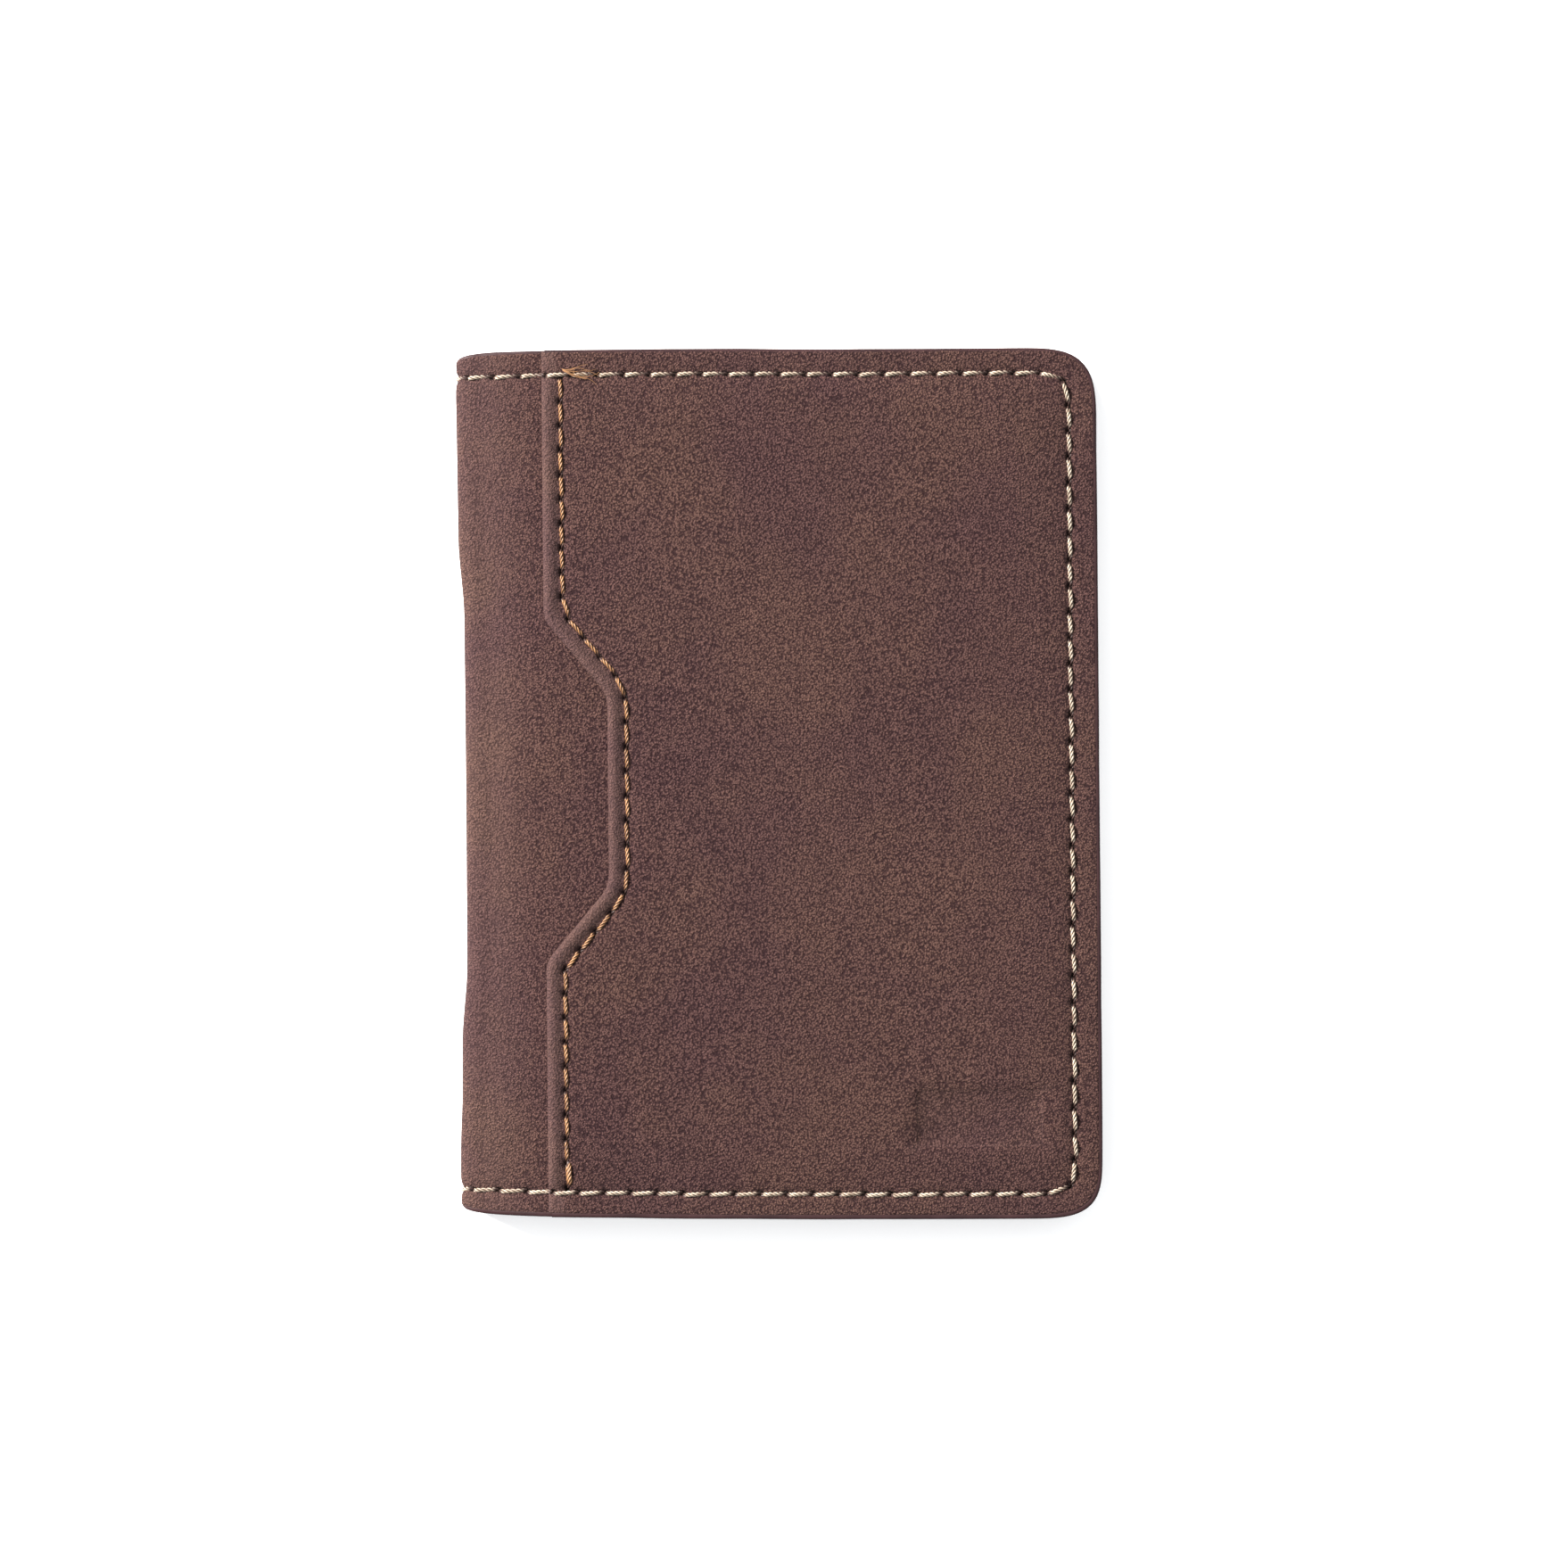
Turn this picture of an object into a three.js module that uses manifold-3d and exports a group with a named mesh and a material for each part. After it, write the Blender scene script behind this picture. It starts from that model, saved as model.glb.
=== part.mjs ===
// A slim bifold wallet of brown nubuck, lying closed on its back cover.
//
// The frame is the closed wallet: +Z up out of the front cover, +Y towards the wallet's top edge, the folded
// spine at -X and the fore edge at +X. The origin is the middle of the face that it rests on. Millimetres.
//
// Each cover is a stack of thin sheets. The outer hide is one piece of leather on a real wallet; here it is
// three sheets, back, spine and front, that meet at the two fold lines.

import * as THREE from "three";
import { mergeVertices } from "three/addons/utils/BufferGeometryUtils.js";
import Module from "manifold-3d";

const wasm = await Module();
wasm.setup();

// ---- Overall size ----
const CLOSED_WIDTH = 80; // outside of the spine to the fore edge
const HEIGHT = 109; // bottom edge to top edge
const CORNER_RADIUS = 5; // the two corners at the fore edge

// ---- Sheets ----
const HIDE = 0.9; // outer nubuck
const INNER_HIDE = 0.6; // leather of the inside panels
const BOARD = 0.3; // stiffener inside each cover
const LINING = 0.15; // woven lining of the note pocket
const SLOT_CLOTH = 0.1; // cloth that hangs behind each card slot
const FILM = 0.2; // clear window
const GLUE_LINE = 0.03; // between sheets that lie face to face
const NOTE_GAP = 0.25; // empty note pocket
const CARD_GAP = 0.1; // empty card pocket
const COVER_GAP = 0.4; // between the two covers when the wallet is shut

// ---- Spine ----
const FOLD_RADIUS = 2.9; // outside of the hide at each fold
const FOLD_LAND = 0.6; // flat end of the spine sheets past each fold
const FOLD_JOINT = 0.3; // between a spine sheet and the cover sheet that it carries on from
const BOARD_SETBACK = 3; // from the fold line to the board
const BOARD_TRIM = 3.3; // from the stitches to the board, so that the needle misses it
const BLOCK_SETBACK = 6.5; // from the outside of the spine to the inside panels

// ---- Front pocket ----
const POCKET_SETBACK = 10.6; // from the outside of the spine to the pocket's mouth
const NOTCH_DEPTH = 7.9;
const NOTCH_LENGTH = 43; // along the mouth, at the mouth
const NOTCH_FLOOR = 24; // along the mouth, at the notch's deepest
const NOTCH_DROP = 0.7; // of the notch's middle below the wallet's
const NOTCH_OUTER_RADIUS = 3.2;
const NOTCH_INNER_RADIUS = 4;
const HEM_WIDTH = 1.9; // the edge is turned under, which doubles the hide
const HEM_RISE = 0.6;
const STAMP = { width: 15.6, height: 6.9, depth: 0.15, fromForeEdge: 7.6, fromBottom: 9.2 };

// ---- Seams ----
const SEAM_MARGIN = 3.2; // outside edge to the line of stitches
const SEAM_CORNER_RADIUS = 2;
const NOTCH_SEAM_MARGIN = 2.35; // pocket's mouth to its line of stitches
const THREAD_WIDTH = 0.6;
const THREAD_SINK = 0.3; // the thread lies flush in a groove of this depth
const THREAD_CLEARANCE = 0.05; // each side of the thread and under it
const SMALLEST_RADIUS = 0.2; // least radius that a fillet keeps when it is offset inwards

// ---- Inside panels ----
const BLOCK_DROP = 4; // the inside panels stop this far under the top edge, so that notes can be found
const SLOT_STEP = 8.5; // from one card slot's edge to the next
const SLOT_OVERLAP = 6; // of one slot's strip under the next
const DRAPE_START = 0.4; // past the strip underneath, where the one on top begins to come down
const DRAPE_RUN = 2;
const CLOTH_TUCK = 3; // from a slot's edge to the cloth sewn behind it
const CLOTH_SIDE_INSET = 4.5; // inside the panels' top and bottom edges
const CLOTH_END_INSETS = [20, 11]; // cloth of the first and second slots, from the fore edge
const WINDOW_BORDER = 8; // leather between the frame's mouth and the window
const WINDOW_FORE_BORDER = 9.5; // leather between the window and the fore edge
const WINDOW_END_BORDER = 12.5; // leather above and below the window
const WINDOW_RADIUS = 4;
const FILM_LAP = 4; // film behind the leather on every side of the window
const THUMB_RADIUS = 8; // half-round thumb cut in the frame's mouth
const THUMB_DEPTH = 5;

const ARC_STEPS = 8; // straight steps in each rounded corner

// ---- Levels: each cover is stacked from the table up ----

/** Stacks sheets from z upwards. Each entry is [name, thickness, gap above it]. */
function stack(z, sheets) {
  const levels = {};
  for (const [name, thickness, gap] of sheets) {
    levels[name] = { low: z, high: z + thickness };
    z += thickness + gap;
  }
  return levels;
}

const BACK = stack(0, [
  ["hide", HIDE, GLUE_LINE],
  ["board", BOARD, GLUE_LINE],
  ["lining", LINING, NOTE_GAP],
  ["divider", LINING, GLUE_LINE],
  ["base", INNER_HIDE, GLUE_LINE],
  ["firstCloth", SLOT_CLOTH, GLUE_LINE],
  ["secondCloth", SLOT_CLOTH, GLUE_LINE],
  ["slots", INNER_HIDE, GLUE_LINE],
  ["lap", INNER_HIDE, 0],
]);

const FRONT = stack(BACK.lap.high + COVER_GAP, [
  ["frame", INNER_HIDE, GLUE_LINE],
  ["film", FILM, CARD_GAP],
  ["base", INNER_HIDE, GLUE_LINE],
  ["divider", LINING, NOTE_GAP],
  ["lining", LINING, GLUE_LINE],
  ["board", BOARD, GLUE_LINE],
  ["hide", HIDE, CARD_GAP],
  ["pocketLining", SLOT_CLOTH, GLUE_LINE],
  ["pocket", HIDE, 0],
]);

// ---- Places in the plan ----
const SPINE_X = -CLOSED_WIDTH / 2;
const FORE_X = CLOSED_WIDTH / 2;
const TOP_Y = HEIGHT / 2;
const BOTTOM_Y = -HEIGHT / 2;
const FOLD_X = SPINE_X + FOLD_RADIUS + FOLD_LAND; // where the spine sheets end
const COVER_X = FOLD_X + FOLD_JOINT; // where the cover sheets begin
const BLOCK_X = SPINE_X + BLOCK_SETBACK;
const BLOCK_TOP_Y = TOP_Y - BLOCK_DROP;
const POCKET_X = SPINE_X + POCKET_SETBACK;
const GROOVE_WIDTH = THREAD_WIDTH + 2 * THREAD_CLEARANCE;
const GROOVE_DEPTH = THREAD_SINK + THREAD_CLEARANCE;

// ---- Solids ----

/** A closed three.js geometry as a manifold-3d solid. */
function solidOf(geometry) {
  const bare = geometry.clone();
  bare.deleteAttribute("normal");
  bare.deleteAttribute("uv");
  const merged = mergeVertices(bare, 1e-4);
  return new wasm.Manifold(
    new wasm.Mesh({
      numProp: 3,
      vertProperties: merged.attributes.position.array,
      triVerts: new Uint32Array(merged.index.array),
    }),
  );
}

/** A manifold-3d solid as a flat-shaded three.js geometry. */
function geometryOf(solid) {
  const mesh = solid.getMesh();
  const geometry = new THREE.BufferGeometry();
  geometry.setAttribute("position", new THREE.BufferAttribute(mesh.vertProperties, 3));
  geometry.setIndex(new THREE.BufferAttribute(mesh.triVerts, 1));
  const flat = geometry.toNonIndexed();
  flat.computeVertexNormals();
  return flat;
}

/** The geometry with others added to it and others then cut from it. */
function combine(geometry, { add = [], cut = [] }) {
  let solid = solidOf(geometry);
  for (const other of add) solid = solid.add(solidOf(other));
  for (const other of cut) solid = solid.subtract(solidOf(other));
  return geometryOf(solid);
}

/** A flat sheet of this outline between two heights. */
function sheet(shape, low, high) {
  const options = { depth: high - low, bevelEnabled: false, curveSegments: ARC_STEPS };
  return new THREE.ExtrudeGeometry(shape, options).translate(0, 0, low);
}

/** A section in the XZ plane, carried along Y between two places. */
function alongY(section, low, high) {
  const options = { depth: high - low, bevelEnabled: false, curveSegments: ARC_STEPS };
  return new THREE.ExtrudeGeometry(section, options).rotateX(Math.PI / 2).translate(0, high, 0);
}

// ---- Outlines ----

/** A path through corners [x, y, radius], each rounded to its radius. The two ends stay sharp. */
function roundedPath(corners) {
  const path = new THREE.Path();
  path.moveTo(corners[0][0], corners[0][1]);
  for (let i = 1; i < corners.length - 1; i++) {
    const [before, corner, after] = corners.slice(i - 1, i + 2).map(([x, y]) => new THREE.Vector2(x, y));
    const back = before.sub(corner).normalize();
    const on = after.sub(corner).normalize();
    const half = Math.acos(back.dot(on)) / 2;
    const radius = corners[i][2];
    const centre = back.clone().add(on).setLength(radius / Math.sin(half)).add(corner);
    const start = back.clone().setLength(radius / Math.tan(half)).add(corner);
    const end = on.clone().setLength(radius / Math.tan(half)).add(corner);
    const startAngle = start.clone().sub(centre).angle();
    const endAngle = end.clone().sub(centre).angle();
    path.lineTo(start.x, start.y);
    path.absarc(centre.x, centre.y, radius, startAngle, endAngle, back.cross(on) > 0);
  }
  path.lineTo(corners.at(-1)[0], corners.at(-1)[1]);
  return path.getPoints(ARC_STEPS);
}

/** A sheet's outline: square at the spine side, rounded at the fore edge. */
function coverOutline(left, top = TOP_Y, inset = 0) {
  const right = FORE_X - inset;
  const radius = Math.max(CORNER_RADIUS - inset, SMALLEST_RADIUS);
  return new THREE.Shape(
    roundedPath([
      [left, BOTTOM_Y + inset],
      [right, BOTTOM_Y + inset, radius],
      [right, top - inset, radius],
      [left, top - inset],
    ]),
  );
}

/** The pocket's mouth, moved into the pocket by an offset, from the top edge down. */
function mouthLine(offset, top = TOP_Y, bottom = BOTTOM_Y) {
  const slope = Math.atan2(NOTCH_DEPTH, (NOTCH_LENGTH - NOTCH_FLOOR) / 2);
  const shift = offset * Math.tan(slope / 2);
  const x = POCKET_X + offset;
  const outer = Math.max(NOTCH_OUTER_RADIUS - offset, SMALLEST_RADIUS);
  const inner = NOTCH_INNER_RADIUS + offset;
  const halfLength = NOTCH_LENGTH / 2 + shift;
  const halfFloor = NOTCH_FLOOR / 2 + shift;
  return roundedPath([
    [x, top],
    [x, halfLength - NOTCH_DROP, outer],
    [x + NOTCH_DEPTH, halfFloor - NOTCH_DROP, inner],
    [x + NOTCH_DEPTH, -halfFloor - NOTCH_DROP, inner],
    [x, -halfLength - NOTCH_DROP, outer],
    [x, bottom],
  ]);
}

/** The line of stitches round three sides, beginning and ending at x, moved inwards by an offset. */
function seamLine(x, offset, top = TOP_Y) {
  const margin = SEAM_MARGIN + offset;
  const radius = SEAM_CORNER_RADIUS - offset;
  return roundedPath([
    [x, top - margin],
    [FORE_X - margin, top - margin, radius],
    [FORE_X - margin, BOTTOM_Y + margin, radius],
    [x, BOTTOM_Y + margin],
  ]);
}

/** The strip between two lines that run the same way. */
function strip(line, other) {
  return new THREE.Shape([...line, ...[...other].reverse()]);
}

/** A strip of this width round three sides, centred on the line of stitches. */
function seamStrip(x, width, top) {
  return strip(seamLine(x, -width / 2, top), seamLine(x, width / 2, top));
}

/** A strip of this width centred on the pocket's own line of stitches, between the two edge seams. */
function mouthSeamStrip(width) {
  const end = TOP_Y - SEAM_MARGIN - THREAD_WIDTH;
  const line = (side) => mouthLine(NOTCH_SEAM_MARGIN + (side * width) / 2, end, -end);
  return strip(line(-1), line(1));
}

/** A box given by its lowest and highest corners. */
function block([x0, y0, z0], [x1, y1, z1]) {
  const box = new THREE.BoxGeometry(x1 - x0, y1 - y0, z1 - z0);
  return box.translate((x0 + x1) / 2, (y0 + y1) / 2, (z0 + z1) / 2);
}

// ---- Materials ----

const finish = (color, roughness, more = {}) =>
  new THREE.MeshStandardMaterial({ color, roughness, metalness: 0, ...more });

const NUBUCK = finish(0x644a47, 0.95);
const INNER_LEATHER = finish(0x5a413d, 0.85);
const LINING_CLOTH = finish(0x3a2b29, 0.8);
const GREY_BOARD = finish(0x8a8178, 0.95);
const CLEAR_FILM = finish(0xe8eef0, 0.12, { transparent: true, opacity: 0.3 });
const CREAM_THREAD = finish(0xd8c7ae, 0.6);
const TAN_THREAD = finish(0xb9854c, 0.6);

const wallet = new THREE.Group();

function place(name, geometry, material) {
  const mesh = new THREE.Mesh(geometry, material);
  mesh.name = name;
  wallet.add(mesh);
}

// ---- Both covers: hide, board and lining ----

/** The groove that a seam's thread lies in, cut into the face at z. towards is 1 for a top face. */
function seamGroove(x, z, towards, top) {
  const floor = z - towards * GROOVE_DEPTH;
  const past = z + towards * GROOVE_DEPTH;
  return sheet(seamStrip(x, GROOVE_WIDTH, top), Math.min(floor, past), Math.max(floor, past));
}

function boardOutline() {
  return coverOutline(COVER_X + BOARD_SETBACK, TOP_Y, SEAM_MARGIN + BOARD_TRIM);
}

function addBackCover() {
  const outline = coverOutline(COVER_X);
  const cut = [seamGroove(COVER_X - GROOVE_WIDTH, 0, -1)];
  place("back_cover_hide", combine(sheet(outline, BACK.hide.low, BACK.hide.high), { cut }), NUBUCK);
  place("back_cover_board", sheet(boardOutline(), BACK.board.low, BACK.board.high), GREY_BOARD);
  place("back_cover_lining", sheet(outline, BACK.lining.low, BACK.lining.high), LINING_CLOTH);
  place("back_seam_thread", sheet(seamStrip(COVER_X, THREAD_WIDTH), 0, THREAD_SINK), CREAM_THREAD);
}

function addFrontCover() {
  const outline = coverOutline(COVER_X);
  const cut = [seamGroove(COVER_X - GROOVE_WIDTH, FRONT.hide.high, 1)];
  place("front_cover_hide", combine(sheet(outline, FRONT.hide.low, FRONT.hide.high), { cut }), NUBUCK);
  place("front_cover_board", sheet(boardOutline(), FRONT.board.low, FRONT.board.high), GREY_BOARD);
  place("front_cover_lining", sheet(outline, FRONT.lining.low, FRONT.lining.high), LINING_CLOTH);
}

// ---- Spine: hide, lining and the two stretches of thread that go round it ----

/** A U open to +X, whose outside lies at x between two heights. */
function foldSection(x, low, high, thickness, radius) {
  const line = (inset) => {
    const corner = Math.max(radius - inset, SMALLEST_RADIUS);
    return roundedPath([
      [FOLD_X, low + inset],
      [x + inset, low + inset, corner],
      [x + inset, high - inset, corner],
      [FOLD_X, high - inset],
    ]);
  };
  return strip(line(0), line(thickness));
}

function spineThread(y, width, thickness, outset) {
  const section = foldSection(
    SPINE_X - outset,
    -outset,
    FRONT.hide.high + outset,
    thickness + outset,
    FOLD_RADIUS + outset,
  );
  return alongY(section, y - width / 2, y + width / 2);
}

function addSpine() {
  const hide = foldSection(SPINE_X, 0, FRONT.hide.high, HIDE, FOLD_RADIUS);
  const seamY = TOP_Y - SEAM_MARGIN;
  const cut = [seamY, -seamY].map((y) => spineThread(y, GROOVE_WIDTH, GROOVE_DEPTH, GROOVE_DEPTH));
  place("spine_hide", combine(alongY(hide, BOTTOM_Y, TOP_Y), { cut }), NUBUCK);
  const liningX = SPINE_X + HIDE + GLUE_LINE;
  const lining = foldSection(
    liningX,
    BACK.lining.low,
    FRONT.lining.high,
    LINING,
    FOLD_RADIUS - HIDE - GLUE_LINE,
  );
  place("spine_lining", alongY(lining, BOTTOM_Y, TOP_Y), LINING_CLOTH);
  place("spine_top_thread", spineThread(seamY, THREAD_WIDTH, THREAD_SINK, 0), CREAM_THREAD);
  place("spine_bottom_thread", spineThread(-seamY, THREAD_WIDTH, THREAD_SINK, 0), CREAM_THREAD);
}

// ---- Front pocket: hide with a turned, notched mouth, its lining and its two seams ----

/** An outline that follows the pocket's mouth on one side and the cover's edge on the others. */
function pocketOutline(mouthOffset, inset) {
  const cover = coverOutline(POCKET_X, TOP_Y, inset).getPoints(ARC_STEPS);
  const mouth = mouthLine(mouthOffset, TOP_Y - inset, BOTTOM_Y + inset);
  return new THREE.Shape([...cover.slice(1, -1), ...mouth]);
}

function stampRecess() {
  const right = FORE_X - STAMP.fromForeEdge;
  const low = BOTTOM_Y + STAMP.fromBottom;
  const top = FRONT.pocket.high;
  return block(
    [right - STAMP.width, low, top - STAMP.depth],
    [right, low + STAMP.height, top + STAMP.depth],
  );
}

function addFrontPocket() {
  const { low, high } = FRONT.pocket;
  const hem = strip(mouthLine(0), mouthLine(HEM_WIDTH));
  const add = [sheet(hem, high - HEM_RISE / 2, high + HEM_RISE)];
  const mouthGroove = sheet(mouthSeamStrip(GROOVE_WIDTH), high - GROOVE_DEPTH, high + GROOVE_DEPTH);
  const edgeGroove = sheet(
    seamStrip(POCKET_X - GROOVE_WIDTH, GROOVE_WIDTH),
    high - GROOVE_DEPTH,
    high + HEM_RISE + GROOVE_DEPTH,
  );
  const pocket = sheet(pocketOutline(0, 0), low, high);
  const cut = [mouthGroove, edgeGroove, stampRecess()];
  place("front_pocket_hide", combine(pocket, { add, cut }), NUBUCK);
  place(
    "front_pocket_lining",
    sheet(pocketOutline(HEM_WIDTH, SEAM_MARGIN), FRONT.pocketLining.low, FRONT.pocketLining.high),
    LINING_CLOTH,
  );
  place("mouth_seam_thread", sheet(mouthSeamStrip(THREAD_WIDTH), high - THREAD_SINK, high), TAN_THREAD);
}

/** The thread round the pocket, with the two ends that step down to the cover and run to the fold. */
function addFrontSeamThread() {
  const upper = FRONT.pocket.high;
  const lower = FRONT.hide.high;
  const stepX = POCKET_X - THREAD_CLEARANCE;
  const round = sheet(seamStrip(stepX - THREAD_WIDTH, THREAD_WIDTH), upper - THREAD_SINK, upper);
  const add = [1, -1].flatMap((side) => {
    const y = side * (TOP_Y - SEAM_MARGIN);
    const [y0, y1] = [y - THREAD_WIDTH / 2, y + THREAD_WIDTH / 2];
    return [
      block([stepX - THREAD_WIDTH, y0, lower - THREAD_SINK], [stepX, y1, upper]),
      block([COVER_X, y0, lower - THREAD_SINK], [stepX, y1, lower]),
    ];
  });
  place("front_seam_thread", combine(round, { add }), CREAM_THREAD);
}

// ---- Inside the back cover: three stepped card slots ----

/** A slot's strip. It lies over the strip before it, then comes down to its own level. */
function slotSection(edge, end, underlyingEnd) {
  const { low } = BACK.slots;
  const lap = BACK.lap.low;
  const under =
    underlyingEnd === null
      ? [[edge, low]]
      : [
          [edge, lap],
          [underlyingEnd + DRAPE_START, lap],
          [underlyingEnd + DRAPE_START + DRAPE_RUN, low],
        ];
  under.push([end, low]);
  const over = under.map(([x, z]) => [x, z + INNER_HIDE]).reverse();
  return new THREE.Shape([...under, ...over].map(([x, z]) => new THREE.Vector2(x, z)));
}

function slotCloth(edge, endInset, level) {
  const low = BOTTOM_Y + CLOTH_SIDE_INSET;
  const high = BLOCK_TOP_Y - CLOTH_SIDE_INSET;
  return block([edge + CLOTH_TUCK, low, level.low], [FORE_X - endInset, high, level.high]);
}

/** The thread that shows inside, round a panel's three sewn sides. */
function insideThread(x, low) {
  return sheet(seamStrip(x, THREAD_WIDTH, BLOCK_TOP_Y), low, low + THREAD_SINK);
}

function addCardSlots() {
  const outline = coverOutline(BLOCK_X, BLOCK_TOP_Y);
  place("back_divider_lining", sheet(outline, BACK.divider.low, BACK.divider.high), LINING_CLOTH);
  place("back_inner_base", sheet(outline, BACK.base.low, BACK.base.high), INNER_LEATHER);

  const edges = [1, 2, 3].map((step) => BLOCK_X + step * SLOT_STEP);
  const ends = edges.map((edge) => edge + SLOT_STEP + SLOT_OVERLAP);
  const cloths = [BACK.firstCloth, BACK.secondCloth];
  for (const i of [0, 1]) {
    const name = `card_slot_${i + 1}`;
    place(`${name}_lining`, slotCloth(edges[i], CLOTH_END_INSETS[i], cloths[i]), LINING_CLOTH);
    const section = slotSection(edges[i], ends[i], i ? ends[i - 1] : null);
    place(`${name}_strip`, alongY(section, BOTTOM_Y, BLOCK_TOP_Y), INNER_LEATHER);
  }

  const panel = alongY(slotSection(edges[2], FORE_X, ends[1]), BOTTOM_Y, BLOCK_TOP_Y);
  const bounds = sheet(outline, BACK.slots.low - HIDE, BACK.lap.high + HIDE);
  const trimmed = geometryOf(solidOf(panel).intersect(solidOf(bounds)));
  const threadX = ends[1] + DRAPE_START + DRAPE_RUN + THREAD_WIDTH;
  const cut = [seamGroove(threadX - THREAD_CLEARANCE, BACK.slots.high, 1, BLOCK_TOP_Y)];
  place("card_slot_3_panel", combine(trimmed, { cut }), INNER_LEATHER);
  place("card_slot_thread", insideThread(threadX, BACK.slots.high - THREAD_SINK), CREAM_THREAD);
}

// ---- Inside the front cover: a window pocket for one card ----

function windowOutline(mouthX, lap) {
  const left = mouthX + WINDOW_BORDER - lap;
  const right = FORE_X - WINDOW_FORE_BORDER + lap;
  const top = BLOCK_TOP_Y - WINDOW_END_BORDER + lap;
  const bottom = BOTTOM_Y + WINDOW_END_BORDER - lap;
  const middle = (left + right) / 2;
  return roundedPath([
    [middle, bottom],
    [right, bottom, WINDOW_RADIUS],
    [right, top, WINDOW_RADIUS],
    [left, top, WINDOW_RADIUS],
    [left, bottom, WINDOW_RADIUS],
    [middle, bottom],
  ]).slice(0, -1);
}

/** A half-round cut for a thumb, in the middle of the frame's mouth. */
function thumbCut(mouthX) {
  const { low, high } = FRONT.frame;
  const disc = new THREE.Shape();
  disc.absarc(mouthX + THUMB_DEPTH - THUMB_RADIUS, (BLOCK_TOP_Y + BOTTOM_Y) / 2, THUMB_RADIUS, 0, 2 * Math.PI);
  return sheet(disc, low - INNER_HIDE, high + INNER_HIDE);
}

function addWindowPocket() {
  const outline = coverOutline(BLOCK_X, BLOCK_TOP_Y);
  place("front_divider_lining", sheet(outline, FRONT.divider.low, FRONT.divider.high), LINING_CLOTH);
  place("front_inner_base", sheet(outline, FRONT.base.low, FRONT.base.high), INNER_LEATHER);

  const mouthX = BLOCK_X + SLOT_STEP;
  const film = new THREE.Shape(windowOutline(mouthX, FILM_LAP));
  place("window_film", sheet(film, FRONT.film.low, FRONT.film.high), CLEAR_FILM);

  const { low, high } = FRONT.frame;
  const frame = coverOutline(mouthX, BLOCK_TOP_Y);
  frame.holes.push(new THREE.Path(windowOutline(mouthX, 0)));
  const threadX = mouthX + CLOTH_TUCK;
  const cut = [thumbCut(mouthX), seamGroove(threadX - THREAD_CLEARANCE, low, -1, BLOCK_TOP_Y)];
  place("window_frame", combine(sheet(frame, low, high), { cut }), INNER_LEATHER);
  place("window_frame_thread", insideThread(threadX, low), CREAM_THREAD);
}

addBackCover();
addCardSlots();
addSpine();
addFrontCover();
addWindowPocket();
addFrontPocket();
addFrontSeamThread();

export default wallet;
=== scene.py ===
# %% [markdown]
# # A slim bifold wallet in brown nubuck
# The frame of this lesson is a closed wallet that lies on its back cover: its folded spine is at -X, its top
# edge at +Y and its notched front pocket faces +Z. The frame knows where every sheet of leather, cloth and
# thread lies and how the two fold lines turn. It is plain on purpose.
# Here each plain sheet is dressed as what it is: hide with a pebbled nap, turned and painted edges, twisted
# thread that dips into its needle holes, and twill lining. Nothing is moved or resized.

# %% Load the frame
import math

import bpy
import numpy as np
from mathutils.geometry import delaunay_2d_cdt
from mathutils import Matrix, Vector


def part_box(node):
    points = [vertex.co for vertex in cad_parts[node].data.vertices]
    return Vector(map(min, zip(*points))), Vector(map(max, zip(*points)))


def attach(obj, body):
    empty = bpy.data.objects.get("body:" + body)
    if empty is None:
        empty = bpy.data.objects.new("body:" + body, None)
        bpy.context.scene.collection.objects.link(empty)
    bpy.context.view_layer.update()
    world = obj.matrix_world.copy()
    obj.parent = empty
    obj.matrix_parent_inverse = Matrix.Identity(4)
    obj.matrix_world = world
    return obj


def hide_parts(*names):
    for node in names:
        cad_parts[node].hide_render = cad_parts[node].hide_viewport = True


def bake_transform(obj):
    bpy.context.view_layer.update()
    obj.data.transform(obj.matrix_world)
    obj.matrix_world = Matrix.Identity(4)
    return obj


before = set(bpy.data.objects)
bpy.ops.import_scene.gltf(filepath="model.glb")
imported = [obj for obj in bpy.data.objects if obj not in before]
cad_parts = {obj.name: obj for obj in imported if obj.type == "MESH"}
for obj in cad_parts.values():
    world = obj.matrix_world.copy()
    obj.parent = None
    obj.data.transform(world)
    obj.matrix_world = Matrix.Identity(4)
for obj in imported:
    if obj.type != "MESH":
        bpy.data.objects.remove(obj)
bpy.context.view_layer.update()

# %% [markdown]
# ## Places and sizes
# A wallet is cut and sewn in millimetres, so this script thinks in millimetres too and turns them into metres
# only when a mesh is made. Places come from the frame's own boxes. The few sizes that a box can't give, such
# as the shape of the thumb notch, are named here once.

# %% Read places from the frame
MM = 0.001


def low(node):
    """The node's lowest corner in millimetres."""
    return np.round(np.array(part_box(node)[0]) / MM, 3)


def high(node):
    """The node's highest corner in millimetres."""
    return np.round(np.array(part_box(node)[1]) / MM, 3)


SPINE_X = low("spine_hide")[0]
FORE_X = high("back_cover_hide")[0]
TOP_Y = high("back_cover_hide")[1]
BLOCK_X = low("back_inner_base")[0]
BLOCK_TOP_Y = high("back_inner_base")[1]
POCKET_X = low("front_pocket_hide")[0]
POCKET_Z = high("mouth_seam_thread")[2]
HIDE = high("back_cover_hide")[2]
print(f"closed: {FORE_X - SPINE_X:.1f} x {2 * TOP_Y:.1f} mm, pocket face at {POCKET_Z:.2f} mm")

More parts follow.
